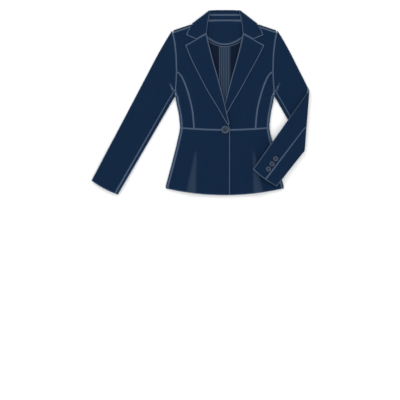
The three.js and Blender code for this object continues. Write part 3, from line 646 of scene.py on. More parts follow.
for side, hand in ((-1, "right"), (1, "left")):
    make_peplum_front(side, f"Peplum_front_{hand}")
make_peplum_back("Peplum_back")
print("body panels:", len(shown))

# %% [markdown]
# ## Sleeves
#
# A two-piece sleeve is a tapered tube. Flat, each section is two layers joined by two half
# circles. One grid serves both sleeves: rows go from the armhole to the cuff, columns go round.
# The left sleeve is then bent over about an axis above its elbow: a point past the fold line
# turns round that axis, up to half a turn, and goes straight on from there.

# %% Sleeve sections, from the armhole to the cuff
CAP = np.array([[199.9, 369.6], [183.0, 125.0]])  # outer and inner end of the armhole
CUFF = np.array([[492.7, -187.4], [394.6, -239.7]])
CUFF_BOW, INNER_BOW = 3.5, 10.0
ELBOW_ENDS = np.array([[304.1, 163.3], [286.8, -62.6]])  # of the line where the fold starts
BENT_CUFF = np.array([[473.7, -174.3], [377.1, -222.9]])
SLEEVE_RUN = {"outer": 620, "straight": 590, "arm": 250, "fold": 18, "forearm": 330}
ELBOW_SHARE = (0.45, 0.47)
SLEEVE_CROWN = 3.5
BACK_SEAM_AT_CUFF = 0.55
BUTTON_LIFT = 3.8
ELBOW = {"x": 312.7, "y": 148.0, "axis": 9.7, "neutral": 5.6, "rest": 11.0}
fold_way = np.array([-0.076, -0.997]) / np.hypot(0.076, 0.997)
away = np.array([-fold_way[1], fold_way[0]])
fold_start = np.array([ELBOW["x"], ELBOW["y"]]) - away * ELBOW["axis"]
BEND = np.pi * ELBOW["neutral"]


def edge_at(a, b, past):
    """Where the line from a to b is a distance past the start of the fold."""
    pa, pb = (a - fold_start) @ away, (b - fold_start) @ away
    return a + (b - a) * ((np.asarray(past) - pa) / (pb - pa))[:, None]


def straight_rows():
    """Outer and inner ends, share, crown of both layers and lift of each section."""
    s = np.sort(np.concatenate([end_rows(SLEEVE_RUN["outer"], 150), [0.01, 0.02, 0.03]]))
    outer, inner = (lerp(CAP[k], CUFF[k], s[:, None]) for k in (0, 1))
    crown = SLEEVE_CROWN * smooth(s / 0.25)
    lift = BUTTON_LIFT * smooth((s - 0.62) / 0.2)
    return {"share": s, "outer": outer, "inner": inner, "front": crown, "back": 0 * s, "lift": lift,
            "run": s * SLEEVE_RUN["straight"], "folded": False}


def folded_rows():
    """The same for the folded sleeve, with close sections in the bend."""
    arm_run, fold_run, forearm_run = SLEEVE_RUN["arm"], SLEEVE_RUN["fold"], SLEEVE_RUN["forearm"]
    up = np.unique(np.concatenate([end_rows(arm_run, 56)[:-4], [1.0]]))
    turn = np.linspace(0, 1, 18)[1:]
    down = end_rows(forearm_run, 76)[5:]
    lines = []
    for k in (0, 1):
        arm = lerp(CAP[k], ELBOW_ENDS[k], up[:, None])
        bend = edge_at(ELBOW_ENDS[k], BENT_CUFF[k], BEND * turn)
        lines.append(np.concatenate([arm, bend, lerp(bend[-1], BENT_CUFF[k], down[:, None])]))
    outer, inner = lines
    way = (outer - inner)[: len(up)]
    way = way / np.linalg.norm(way, axis=1, keepdims=True)
    inner[: len(up)] += way * (INNER_BOW * up * (1 - up))[:, None]
    near_fold = lambda mm: SLEEVE_CROWN * smooth((mm - 30) / 70)
    front = np.minimum(near_fold(115 * (1 - up)), SLEEVE_CROWN * smooth(up / 0.3))
    last, first = ELBOW_SHARE
    share = np.concatenate([last * up, lerp(last, first, turn), lerp(first, 1, down)])
    flat = 0 * np.concatenate([turn, down])
    return {"share": share, "outer": outer, "inner": inner,
            "run": np.concatenate([arm_run * up, arm_run + fold_run * turn,
                                   arm_run + fold_run + forearm_run * down]),
            "front": np.concatenate([front, flat]),
            "back": np.concatenate([0 * up, 0 * turn, near_fold(300 * down)]),
            "lift": 0 * share, "folded": True}


armhole_run = np.append(0, np.cumsum(np.hypot(*np.diff(np.array(ARMHOLE, float), axis=0).T)))
ARM_U = armhole_run / armhole_run[-1]
U_FRONT = float(ARM_U[10])  # the front seam leaves the armhole here
U_BACK = float(ARM_U[7])  # and the back seam here, at the princess seam


print("share of the armhole at the front seam:", round(U_FRONT, 2), "back seam:", round(U_BACK, 2))

# %% [markdown]
# ### Points of a section, and the fold
#
# Each section starts as a straight line from the outer to the inner edge. Near the armhole it
# bends to the armhole's curve, and near the cuff it bows out. The fold keeps the length of the
# cloth at one height: a point past the fold line turns by its distance over that radius.

# %% Section plan and fold
def section_plan(rows, u):
    """Plan points of shares u across the sections; near the armhole they follow its curve."""
    line = lerp(rows["outer"][:, None], rows["inner"][:, None], u[..., None])
    across = rows["inner"] - rows["outer"]
    wide = np.linalg.norm(across, axis=1, keepdims=True)
    down = np.stack([-across[:, 1], across[:, 0]], -1) / wide
    t = np.clip((u - EDGE / wide) / (1 - 2 * EDGE / wide), 0, 1)
    bow_out = CUFF_BOW * 4 * t * (1 - t) * smooth((rows["share"] - 0.9) / 0.1)[:, None]
    line = line + down[:, None] * bow_out[..., None]
    bow = np.stack([flow(ARM_U, [p[0] for p in ARMHOLE], u) + SEAM,
                    flow(ARM_U, [p[1] for p in ARMHOLE], u)], -1)
    fade = np.clip(1 - rows["share"] / 0.2, 0, 1)[:, None, None] ** 2
    return line + fade * (bow - lerp(CAP[0], CAP[1], u[..., None]))


def fold_over(points):
    """Bend what lies past the fold line up and over, and let the forearm rise onto the peplum."""
    flat = points[..., :2]
    past = (flat - fold_start) @ away
    turn = np.clip(past / ELBOW["neutral"], 0, np.pi)
    beyond = np.maximum(0, past - BEND)
    radius = ELBOW["axis"] - points[..., 2]
    out = radius * np.sin(turn) - beyond
    rise = ELBOW["rest"] * smooth((beyond - 15) / 125)
    xy = flat + away * (out - past)[..., None]
    z = ELBOW["axis"] - radius * np.cos(turn) + rise
    bent = np.concatenate([xy, z[..., None]], -1)
    return np.where((past > 0)[..., None], bent, points)


print("cloth taken by the fold, mm:", round(float(BEND), 1))

# %% [markdown]
# ### Creases
#
# Cloth breaks where an arm bends it: long soft troughs at the elbow, short ones under the arm and
# at the cap. Each is a Gaussian across its own line, which fades towards both ends.

# %% Creases of the sleeves
# Run from and to in mm, share across from and to, width and depth
SLEEVE_CREASES = [
    (40, 190, 0.50, 0.36, 8, 1.1), (70, 260, 0.74, 0.60, 8, 0.9), (250, 330, 0.98, 0.62, 6, 1.5),
    (276, 352, 0.96, 0.50, 6, 1.3), (305, 372, 0.99, 0.66, 5, 1.1), (262, 300, 0.04, 0.30, 7, 0.9),
    (380, 560, 0.40, 0.44, 9, 0.9), (400, 520, 0.72, 0.62, 8, 0.8),
]
ELBOW_CREASES = [(0.16, 6, 1.6), (0.41, 5, 1.4), (0.63, 7, 1.8), (0.84, 5, 1.4)]
UNDERARM_MARKS = [((206, 176.5), (184.6, 139.5)), ((197.6, 158), (191.7, 143))]


def sleeve_creases(rows, u, wide):
    """Soft troughs in mm, along the run and across the width; the folded sleeve has more."""
    run = rows["run"][:, None]
    total = 0 * u
    for a, b, ua, ub, width, deep in SLEEVE_CREASES:
        share = (run - a) / (b - a)
        off = (u - lerp(ua, ub, np.clip(share, 0, 1))) * wide
        fade = smooth(share / 0.3) * smooth((1 - share) / 0.3)
        total = total - deep * fade * np.exp(-((off / width) ** 2))
    if not rows["folded"]:
        return total
    from_fold = run - SLEEVE_RUN["arm"] - SLEEVE_RUN["fold"] / 2
    fade = np.exp(-(((np.abs(from_fold) - 18) / 24) ** 2)) * smooth((np.abs(from_fold) - 4) / 12)
    for share, width, deep in ELBOW_CREASES:
        lean = 0.0009 * from_fold * np.sign(share - 0.5)
        total = total - deep * fade * np.exp(-(((share + lean - u) * wide / width) ** 2))
    return total


def mark_line(x, y, start, end, wide):
    """1 along a line, 0 away from it, fading towards its ends."""
    return -trough(x, y, start, end, wide, 1.0)


print("sleeve creases:", len(SLEEVE_CREASES), "and in the fold:", len(ELBOW_CREASES))

# %% [markdown]
# ### Both sleeves
#
# A column of the tube lies on the front layer, on a turned edge or on the back layer. The top
# sleeve goes round the outer edge and the under sleeve round the inner one, and the two meet at
# the front seam and the back seam.

# %% Sleeves, straight and folded
def tube(rows, c, angle, layer, depth):
    """Points of a sleeve. c is the distance from the outer edge; angle is used on the turns."""
    wide = np.linalg.norm(rows["inner"] - rows["outer"], axis=-1)[:, None]
    t = np.clip((c - EDGE) / (wide - 2 * EDGE), 0, 1)
    arch = np.sin(np.pi * t) ** 0.8
    crease = sleeve_creases(rows, c / wide, wide) * arch
    out = (EDGE - depth) * np.cos(angle)
    on_turn = np.where(layer == "outer", EDGE - out, wide - EDGE + out)
    turned = (layer == "outer") | (layer == "inner")
    across = np.where(turned, on_turn, c)
    plan = section_plan(rows, across / wide)
    if not rows["folded"]:
        marks = (trough(plan[..., 0], plan[..., 1], *ends, 2.4, 1.3) for ends in UNDERARM_MARKS)
        crease = crease + sum(marks)
    front = 2 * EDGE - depth + rows["front"][:, None] * arch + crease
    back = depth - rows["back"][:, None] * arch - crease
    z = np.where(layer == "front", front, back)
    z = np.where(turned, EDGE + (EDGE - depth) * np.sin(angle), z) + rows["lift"][:, None]
    points = np.concatenate([plan, z[..., None]], -1)
    return fold_over(points) if rows["folded"] else points


def make_sleeve(rows, side, top, name):
    """Top sleeve, round the outer edge, or under sleeve, round the inner edge."""
    wide = np.linalg.norm(rows["inner"] - rows["outer"], axis=-1)
    share = rows["share"]
    seam_front = U_FRONT * wide
    seam_back = lerp(U_BACK, BACK_SEAM_AT_CUFF, share) * wide
    near_edge, way = (EDGE + 0 * wide, -1) if top else (wide - EDGE, 1)
    gaps = [np.abs(near_edge - seam) - SEAM for seam in (seam_front, seam_back)]
    count = [max(6, int(gap.mean() / 4.3)) for gap in gaps]
    far = [stations(gap + NEAR[-1], n)[:, : -len(NEAR) + 1] for gap, n in zip(gaps, count)]
    far = [f * (gap / f[:, -1])[:, None] for f, gap in zip(far, gaps)]
    angles = np.linspace(np.pi / 2, -np.pi / 2, 9)[1:-1]
    c_front = seam_front[:, None] + way * (SEAM + far[0])
    c_back = (seam_back[:, None] + way * (SEAM + far[1]))[:, ::-1]
    c = np.concatenate([c_front, near_edge[:, None] + 0 * angles, c_back], 1)
    sizes = (c_front.shape[1], len(angles), c_back.shape[1])
    layer = np.repeat(["front", "outer" if top else "inner", "back"], sizes)[None]
    angle = np.concatenate([np.zeros(sizes[0]), angles, np.zeros(sizes[2])])[None]
    side_mm = np.concatenate([far[0], far[0][:, -1:] + 9 + 0 * angles, far[1][:, ::-1]], 1)
    end = np.minimum(rows["run"], rows["run"][-1] - rows["run"])[:, None]
    edge_mm = np.minimum(side_mm, end)
    flat = section_plan(rows, c / wide[:, None])
    # Painted highlights: pale lines along the underarm creases on the front layer, and a rim highlight
    # on the turned edge.
    marks = sum(mark_line(flat[..., 0], flat[..., 1], *ends, 1.2) for ends in UNDERARM_MARKS)
    marks = np.maximum(marks * (layer == "front"), outline(angle) * (layer != "front"))
    marks = marks * (layer != "back")

    def surface(depth):
        """The tube, mirrored for the right arm."""
        return tube(rows, c, angle, layer, depth) * (side, 1, 1)

    return cloth_wall(name, surface, edge_mm, CLOTH, marks=marks)


plain_rows, bent_rows = straight_rows(), folded_rows()
for rows, side, hand in ((plain_rows, -1, "right"), (bent_rows, 1, "left")):
    make_sleeve(rows, side, True, f"Top_sleeve_{hand}")
    make_sleeve(rows, side, False, f"Under_sleeve_{hand}")
print("with the sleeves:", len(shown))


# %% [markdown]
# ## Lapels and collar
#
# A lapel is the front turned back on itself: flat to the roll line and then half a circle down to
# the front. The collar does the same round the back of the neck. It lies under the back neck,
# turns with the shoulder edge and ends on the chest at the gorge seam, where the notch is.

# %% Lapels
def from_ends(points, axis):
    """Distance along the grid from the nearer end of each row or column."""
    step = np.linalg.norm(np.diff(points, axis=axis), axis=-1)
    run = np.insert(np.cumsum(step, axis), 0, 0, axis)
    return np.minimum(run, np.take(run, [-1], axis) - run)


def lapel_lines():
    """Points of the style edge and of the roll line, row by row, close at both ends."""
    marks = np.arange(len(ROLL))
    middle = (np.array(ROLL, float) + np.array(LAPEL_EDGE, float)) / 2
    run = np.append(0, np.cumsum(np.hypot(*np.diff(middle, axis=0).T)))
    at = np.interp(stations(run[-1], 74), run, marks)
    lines = [[flow(marks, [p[k] for p in line], at) for k in (0, 1)] for line in (LAPEL_EDGE, ROLL)]
    return [np.stack(line, -1) for line in lines]


def make_lapel(side, name):
    """Flat from the style edge to the roll line, then round it."""
    edge, roll = lapel_lines()
    if side > 0:
        down = (LEFT_LAPEL["top"] - edge[:, 1]) / LEFT_LAPEL["run"]
        edge[:, 0] -= LEFT_LAPEL["narrower"] * np.sin(np.pi * down)
    end = roll + (TURN, 0)
    wide = np.hypot(*(end - edge).T)
    far = stations(np.maximum(wide, 6) + NEAR[-1], 22)[:, : -len(NEAR) + 1]
    share = far / far[:, -1:]
    angle = np.linspace(0, np.pi, 12)[1:]
    flat = lerp(edge[:, None], end[:, None], share[..., None])
    x = np.concatenate([flat[..., 0], end[:, :1] + 0 * angle], 1)
    y = np.concatenate([flat[..., 1], end[:, 1:] + 0 * angle], 1)
    turn = np.concatenate([0 * share[0], angle])
    bend = 0.9 * np.sin(np.pi * np.clip(np.append(share[0], 0 * angle + 1), 0, 1)) ** 2
    top = front_top(x, y) - CLOTH + 2 * TURN - (sunk(x, y) if side > 0 else 0) + bend

    def surface(depth):
        """x - r sin(a) and z + r cos(a), where r = TURN - depth and a goes from 0 to half a turn."""
        radius = TURN - depth
        return np.stack([side * (x - radius * np.sin(turn)), y,
                         top - TURN + radius * np.cos(turn)], -1)

    base = surface(np.zeros_like(x))
    edge_mm = np.minimum(from_ends(base, 0), from_ends(base, 1))
    # Painted highlight along the lapel's roll: the outermost part of the turn and a little of the flat.
    reach = np.where(turn > 0, TURN * (1 - np.sin(turn)), TURN + x - end[:, :1])
    marks = paint(reach) * (turn < 2)
    return cloth_wall(name, surface, edge_mm, TURN_WALL, marks=marks)


make_lapel(-1, "Lapel_right")
make_lapel(1, "Lapel_left")
print("with the lapels:", len(shown))

# %% [markdown]
# ### Collar columns
#
# A few columns fix the collar: under the back neck, round the shoulder edge in half a circle of
# steps, and on the chest. Each has its style edge, its middle, its roll line and the direction
# of its outside, and the columns between are blended from them.

# %% Collar columns
FALL_TOP = 2 * EDGE - CLOTH + 2 * TURN
SILHOUETTE = {"roll": (56, 444), "edge": (121, 394)}
SLIDE = {"roll": 6, "edge": 4}
COLLAR_FRONT = [  # style edge, middle and roll line of the columns on the chest
    ((126.5, 381.5), (92, 403), (58.5, 421)), ((131, 374.5), (97.5, 385), (62.3, 398)),
    ((138, 362.5), (101, 363), (65, 376)), ((142, 350), (106.4, 334.2), (66.4, 355.8)),
]


def collar_marks():
    """Edge, middle, roll, normal, height, use of the front's height, and return, by column."""
    edge, middle, roll, normal, z, on_front, back = [], [], [], [], [], [], []
    for b in (0, 0.25, 0.5, 0.7):
        edge.append((104 * b, 388 + 9 * b * b))
        roll.append((53 * b, ROLL_Y - 1.5 * b**4))
        middle.append(lerp(np.array(edge[-1]), np.array(roll[-1]), 0.5))
        normal.append((0, 0, 1))
        z.append(0)
        on_front.append(0)
        back.append(RETURN - TURN)
    ends = {k: np.array(v, float) for k, v in SILHOUETTE.items()}
    line = (ends["roll"] - ends["edge"]) / np.hypot(*(ends["roll"] - ends["edge"]))
    face = np.array([line[1], -line[0]])
    for t in np.linspace(-1, 1, 9):
        cos, sin = np.cos(t * np.pi / 2), np.sin(t * np.pi / 2)
        inside = face * FALL_TOP / 2 * (cos - 1)
        edge.append(ends["edge"] + inside - line * (SLIDE["edge"] * (1 - cos) * (t > 0)))
        roll.append(ends["roll"] + inside + line * (SLIDE["roll"] * (1 - cos) * (t < 0)))
        middle.append((edge[-1] + roll[-1]) / 2)
        normal.append((-face[0] * cos, -face[1] * cos, -sin))
        z.append(FALL_TOP / 2 * (1 + sin))
        on_front.append(0)
        back.append((RETURN - TURN - 0.6) * smooth(-t * 1.6) + 0.6)
    for columns in COLLAR_FRONT:
        for group, value in zip((edge, middle, roll), columns):
            group.append(value)
        normal.append((0, 0, -1))
        z.append(FALL_TOP)
        on_front.append(1)
        back.append(0.6)
    return [np.array(group, float) for group in (edge, middle, roll, normal, z, on_front, back)]


print("collar columns of one half:", len(collar_marks()[0]))

# %% [markdown]
# ### Collar strip
#
# The strip runs from notch to notch. Across it the fall is flat, the roll is half a circle, and
# the return goes down inside the neck to the stand.

# %% Collar strip
def make_collar(name):
    """One strip from notch to notch, worked out for one half and mirrored."""
    columns = collar_marks()
    run = np.append(0, np.cumsum(np.hypot(*np.diff(columns[1], axis=0).T)))
    at = stations(2 * run[-1], 150)
    at = np.abs(at - run[-1])
    sign = np.sign(np.linspace(-1, 1, len(at)))

    def spread(values):
        """Values of the marked columns, blended for every column of the strip."""
        values = values.reshape(len(run), -1)
        return np.stack([np.interp(at, run, v) for v in values.T], -1)

    edge, middle, roll, normal, z, on_front, back = (spread(c) for c in columns)
    normal = normal / np.linalg.norm(normal, axis=1, keepdims=True)
    way = (roll - middle) / np.linalg.norm(roll - middle, axis=1, keepdims=True)
    centre = roll - way * TURN
    home = lerp(np.array([0.12, -1.0]), -way, smooth(z / 3))
    first = np.concatenate([NEAR / 30, np.linspace(0.15, 1, 9)])
    flats = [lerp(edge, middle, t) for t in first] + [
        lerp(middle, centre, t) for t in np.linspace(0, 1, 11)[1:]]
    flat = np.stack(flats)
    angle = np.linspace(0, np.pi, 9)[1:]
    turn = np.concatenate([np.zeros(len(flat)), angle, [np.pi] * 4])[:, None, None]
    share = np.concatenate([np.zeros(len(flat) + len(angle)), [0.3, 0.7, 0.94, 1]])[:, None, None]
    at_roll = np.repeat(centre[None], len(angle) + 4, 0)
    flat = np.concatenate([flat, at_roll])
    height = front_top(flat[..., 0], flat[..., 1]) - CLOTH + 2 * TURN
    base = lerp(z[:, 0], height, on_front[:, 0])
    soft = 0.8 * np.sin(np.pi * np.linspace(0, 1, len(flat)))[:, None] * on_front[:, 0]

    def surface(depth):
        """Each column's line, r sin(a) past the roll centre and r cos(a) along the normal."""
        d = depth[..., None]
        inward = np.where(turn > 0, TURN - (TURN - d) * np.cos(turn), d)
        xy = flat + way * (TURN - d) * np.sin(turn) + normal[:, :2] * inward + home * share * back
        height = base[..., None] + soft[..., None] + normal[:, 2:] * inward
        return np.concatenate([sign[:, None] * xy[..., :1], xy[..., 1:], height], -1)

    points = surface(np.zeros(base.shape))
    edge_mm = np.minimum(from_ends(points, 0), from_ends(points, 1))
    bend = turn[..., 0]
    # Painted highlights along the collar's roll and on the outermost part of its turn over the shoulder
    # edge.
    marks = paint(TURN * (1 - np.sin(bend))) * (bend > 0) * (bend < 2) * (z[:, 0] > 4)
    half = FALL_TOP / 2
    reach = half - np.sqrt(np.maximum(0, half**2 - (z[:, 0] - half) ** 2))
    rounding = paint(reach + 0.6) * (on_front[:, 0] == 0) * (z[:, 0] > half * 0.8)
    return cloth_wall(name, surface, edge_mm, TURN_WALL, marks=np.maximum(marks, rounding))


make_collar("Collar")
print("with the collar:", len(shown))

# %% [markdown]
# ## Inside of the neck
#
# Between the lapels one sees the inside of the back: the collar stand, the neck facing, a narrow
# satin piping at the facing's lower edge, the lining with its ease pleat, and the seam of the
# lining down to where the fronts cross.

# %% Flat pieces in the neck
PLEAT_HALF = 20.7
BAND_HALF = 70


def band_top(x):
    """Lower edge of the facing: a shallow bow."""
    return 317 + 22 * (x / 60) ** 2


def band_low(x):
    """Lower edge of the piping."""
    return 307 + 19 * (x / 60) ** 2


def on_back(x, y):
    """Just clear of the inside of the back layer."""
    return back_floor(x, y) + CLOTH + 0.3 + 0.6 * smooth((y - 312) / 20)


def flat_piece(name, x_of, y_of, z_of, thick, cells_x, cells_y):
    """A flat wall over shares u across and v up; the three functions give x, y and top."""
    v = end_rows(length([(0, y_of(x_of(0.5, 0.0), 0.0)), (0, y_of(x_of(0.5, 1.0), 1.0))]), cells_y)
    wide = np.abs(x_of(1.0, v) - x_of(0.0, v)) + 0 * v
    u = stations(wide, cells_x) / wide[:, None]
    x = x_of(u, v[:, None])
    y = y_of(x, v[:, None])
    z = z_of(x, y, v[:, None], u)

    def surface(depth):
        """The top, less the depth."""
        return np.stack([x, y, z - depth], -1)

    base = surface(0 * x)
    edge_mm = np.minimum(from_ends(base, 0), from_ends(base, 1))
    return cloth_wall(name, surface, edge_mm, thick)


def across_neck(half):
    """x at share u of a piece that reaches as far on both sides."""
    return lambda u, v: lerp(-half, half, u) + 0 * v


def neck_line(x):
    """Upper edge of the facing, just under the neck seam."""
    return NECK_Y - 1.5 * smooth((np.abs(x) - 55) / 10) - SEAM


flat_piece("Back_neck_facing", across_neck(72),
           lambda x, v: lerp(band_top(x) + SEAM, neck_line(x), v),
           lambda x, y, v, u: on_back(x, y) + 1.4, 1.4, 30, 16)
flat_piece("Neck_band", across_neck(BAND_HALF),
           lambda x, v: lerp(band_low(x) + SEAM, band_top(x) - SEAM, v),
           lambda x, y, v, u: on_back(x, y) + 2.2, 2.2, 30, 3)
flat_piece("Collar_stand", across_neck(60),
           lambda x, v: lerp(NECK_Y + SEAM, STAND_Y - SEAM, v) + 0 * x,
           lambda x, y, v, u: lerp(4.7, 3.4, v) + 1.4 + 0 * x, 1.4, 20, 4)
print("facing, piping and stand:", [piece.name for piece in shown[-3:]])

# %% [markdown]
# ### Lining
#
# The pleat at the centre back gives the lining ease. Its folds stand a little above it, and the
# lining on both sides ripples gently.

# %% Lining and its pleat
def pleat_top(x, y, v, u):
    """Two folds stand a little above the rest of the pleat."""
    fold = np.exp(-(((np.abs(x) - 0.6 * PLEAT_HALF) / 2.2) ** 2))
    return on_back(x, y) + LINING + 0.3 + LINING + 0.9 * fold


def lining_top(x, y, v, u):
    """The lining is soft: it ripples gently along its length."""
    ripple = 0.5 * np.sin(y / 17 + x / 23) * np.sin(np.pi * v) * np.sin(np.pi * u)
    return on_back(x, y) + 2 * LINING + 0.5 + ripple


flat_piece("Lining_pleat", across_neck(PLEAT_HALF),
           lambda x, v: lerp(84.0, band_low(x) - 3 * SEAM, v), pleat_top, LINING, 36, 70)
for side, hand in ((-1, "right"), (1, "left")):
    flat_piece(f"Back_lining_{hand}",
               lambda u, v, side=side: side * lerp(PLEAT_HALF + SEAM, lerp(32, 82, v), u),
               lambda x, v: lerp(112.0, band_low(np.minimum(np.abs(x), BAND_HALF)) - 4 * SEAM, v),
               lining_top, LINING, 16, 50)
print("with the neck:", len(shown))

# %% [markdown]
# ## Buttons
#
# A button is a turned disc: a rounded rim, a ring groove, and a dish with four holes. Two strands
# of thread cross the dish from hole to hole.

# %% Turned discs with four holes
PROFILE = [(0, 0), (0.86, 0), (0.95, 0.08), (1, 0.3), (1, 0.6), (0.97, 0.85), (0.9, 0.98),
           (0.84, 1), (0.79, 0.95), (0.75, 0.84), (0.72, 0.79), (0.66, 0.76), (0.4, 0.68),
           (0, 0.62)]
HOLE, HOLE_AT = 0.075, 0.2  # shares of the radius
FRONT_BUTTON = {"radius": 14.0, "height": 4.6}
CUFF_BUTTON = {"radius": 9.0, "height": 3.3, "pitch": 23.0, "from_cuff": 34.0, "share": 0.42}


def turned_disc(radius, height, around=56):
    """Revolve the profile: rings of points, with one point at each end of the axis."""
    bm = bmesh.new()
    angle = np.linspace(0, 2 * np.pi, around, endpoint=False)
    ring = lambda r, z: [bm.verts.new((r * np.cos(a), r * np.sin(a), z)) for a in angle]
    rings = [ring(radius * r, height * z) for r, z in PROFILE[1:-1]]
    for low_ring, high_ring in zip(rings, rings[1:]):
        for k in range(around):
            n = (k + 1) % around
            bm.faces.new((low_ring[k], low_ring[n], high_ring[n], high_ring[k]))
    for z, last, flip in ((PROFILE[0][1], rings[0], True), (PROFILE[-1][1], rings[-1], False)):
        tip = bm.verts.new((0, 0, z * height))
        for k in range(around):
            n = (k + 1) % around
            bm.faces.new((tip, last[n], last[k]) if flip else (tip, last[k], last[n]))
    return bm


def make_button(name, spec, centre, up):
    """A button with its holes, its foot at centre and its dish towards up."""
    radius, height = spec["radius"], spec["height"]
    bm = turned_disc(radius, height)
    mesh = bpy.data.meshes.new(name)
    bm.to_mesh(mesh)
    bm.free()
    disc = bpy.data.objects.new(name, mesh)
    bpy.context.scene.collection.objects.link(disc)
    cutters = []
    for sx, sy in ((1, 1), (1, -1), (-1, 1), (-1, -1)):
        at = (sx * HOLE_AT * radius, sy * HOLE_AT * radius, height / 2)
        bpy.ops.mesh.primitive_cylinder_add(vertices=20, radius=HOLE * radius,
                                            depth=3 * height, location=at)
        cutters.append(bpy.context.object)
    cut = disc.modifiers.new("holes", "BOOLEAN")
    cutters[0].select_set(True)
    for other in cutters[1:]:
        other.select_set(True)
    bpy.context.view_layer.objects.active = cutters[0]
    bpy.ops.object.join()
    cut.object, cut.solver = cutters[0], "EXACT"
    final = bpy.data.meshes.new_from_object(disc.evaluated_get(bpy.context.evaluated_depsgraph_get()))
    bpy.data.objects.remove(cutters[0])
    disc.modifiers.clear()
    disc.data = final
    reach = [np.hypot(v.co.x, v.co.y) / radius for v in final.vertices]
    final.attributes.new("reach", "FLOAT", "POINT").data.foreach_set("value", reach)
    place(final, centre, up)
    final.shade_smooth()
    shown.append(disc)
    return disc


def place(mesh, centre, up):
    """Scale to metres, turn the dish towards up and move the foot to centre."""
    turn = Vector((0, 0, 1)).rotation_difference(Vector(up)).to_matrix().to_4x4()
    spot = Matrix.Translation(Vector((np.array(centre) + SHIFT) * MM))
    mesh.transform(spot @ turn @ Matrix.Scale(MM, 4))


print("profile points of a button:", len(PROFILE))

# %% [markdown]
# ### Thread
#
# Each button is sewn on with two strands. A strand is a bent tube that comes up through one hole
# and goes down through the next.

# %% Thread
def make_thread(name, spec, centre, up):
    """Two strands, each a bent tube from hole to hole, as one closed mesh each."""
    radius, height = spec["radius"], spec["height"]
    bm = bmesh.new()
    thick = 0.045 * radius
    for sx in (1, -1):
        start, end = np.array([sx, 1.0]) * HOLE_AT * radius, np.array([sx, -1.0]) * HOLE_AT * radius
        rings = []
        for t in np.linspace(0, 1, 11):
            x, y = lerp(start, end, t)
            z = height * (0.45 + 0.31 * np.sin(np.pi * t) ** 0.35)
            ring = []
            for a in np.linspace(0, 2 * np.pi, 10, endpoint=False):
                off = thick * np.array([np.cos(a), 0, np.sin(a)])
                ring.append(bm.verts.new((x + off[0] * 1.5, y, z + off[2])))
            rings.append(ring)
        for one, two in zip(rings, rings[1:]):
            for k in range(10):
                n = (k + 1) % 10
                bm.faces.new((one[k], one[n], two[n], two[k]))
        bm.faces.new(rings[0])
        bm.faces.new(rings[-1][::-1])
    bmesh.ops.recalc_face_normals(bm, faces=bm.faces)
    mesh = bpy.data.meshes.new(name)
    bm.to_mesh(mesh)
    bm.free()
    place(mesh, centre, up)
    mesh.shade_smooth()
    strand = bpy.data.objects.new(name, mesh)
    bpy.context.scene.collection.objects.link(strand)
    return strand


print("strand radius on the front button, mm:", round(0.045 * FRONT_BUTTON["radius"], 2))

# %% The front button and three on each cuff
def cuff_spots(rows):
    """Plan points of the buttons: back from the cuff along the outer edge."""
    last, before = rows["outer"][-1], rows["outer"][-30]
    way = (before - last) / np.hypot(*(before - last))
    base = lerp(rows["outer"][-1], rows["inner"][-1], CUFF_BUTTON["share"])
    return [base + way * (CUFF_BUTTON["from_cuff"] + k * CUFF_BUTTON["pitch"]) for k in range(3)]


threads = {}
spots = [("Front_button", FRONT_BUTTON,
          (*BUTTON_AT, float(front_top(*BUTTON_AT)) + 0.3), (0, 0, 1))]
for k, (x, y) in enumerate(cuff_spots(plain_rows)):
    spots.append((f"Cuff_button_right_{k + 1}", CUFF_BUTTON, (-x, y, CUFF_BUTTON["height"]), (0, 0, -1)))
for k, (x, y) in enumerate(cuff_spots(bent_rows)):
    over = fold_over(np.array([x, y, -3.5]))
    spots.append((f"Cuff_button_left_{k + 1}", CUFF_BUTTON, (*over[:2], over[2] + 0.6), (0, 0, 1)))
for name, spec, centre, up in spots:
    make_button(name, spec, centre, up)
    threads[name] = make_thread(name + "_thread", spec, centre, up)
print("with the buttons:", len(shown), "pieces and", len(threads), "threads")


# %% [markdown]
# ## Shader maths as plain formulas
#
# A node tree is easier to read as a formula. Field wraps one socket: arithmetic on it adds Math
# nodes, and its node method adds any other node.

# %% A small expression class
class Field:
    """A value in a shader. + - * and ** take numbers and other Fields."""

    def __init__(self, tree, socket):
        """tree is the material's node tree, socket the output that holds the value."""
        self.tree, self.socket = tree, socket

    def put(self, target):
        """Link this value into an input socket."""
        self.tree.links.new(self.socket, target)

    def math(self, operation, *others):
        """A Math node on this value and others."""
        return self.node("ShaderNodeMath", dict(enumerate((self, *others))), operation=operation)

    def node(self, kind, inputs, output=0, **settings):
        """Any node: inputs by name or number, then its own settings."""
        made = self.tree.nodes.new(kind)
        for key, value in settings.items():
            setattr(made, key, value)
        for key, value in inputs.items():
            if isinstance(value, Field):
                value.put(made.inputs[key])
            else:
                made.inputs[key].default_value = value
        return Field(self.tree, made.outputs[output])

    def __add__(self, other):
        """Sum."""
        return self.math("ADD", other)

    def __sub__(self, other):
        """Difference."""
        return self.math("SUBTRACT", other)

    def __mul__(self, other):
        """Product."""
        return self.math("MULTIPLY", other)

    def __pow__(self, other):
        """Power."""
        return self.math("POWER", other)


def new_material(name):
    """A material, its Principled shader's inputs and a Field to start formulas from."""
    material = bpy.data.materials.new(name)
    material.use_nodes = True
    tree = material.node_tree
    shader = tree.nodes["Principled BSDF"]
    return material, shader.inputs, Field(tree, None)


def mixed(start, share, one, two):
    """Colour one where share is 0 and two where it is 1."""
    return start.node("ShaderNodeMix", {0: share, 6: one, 7: two}, 2, data_type="RGBA")


def attribute(start, name):
    """A value that the mesh carries."""
    return start.node("ShaderNodeAttribute", {}, 2, attribute_name=name)


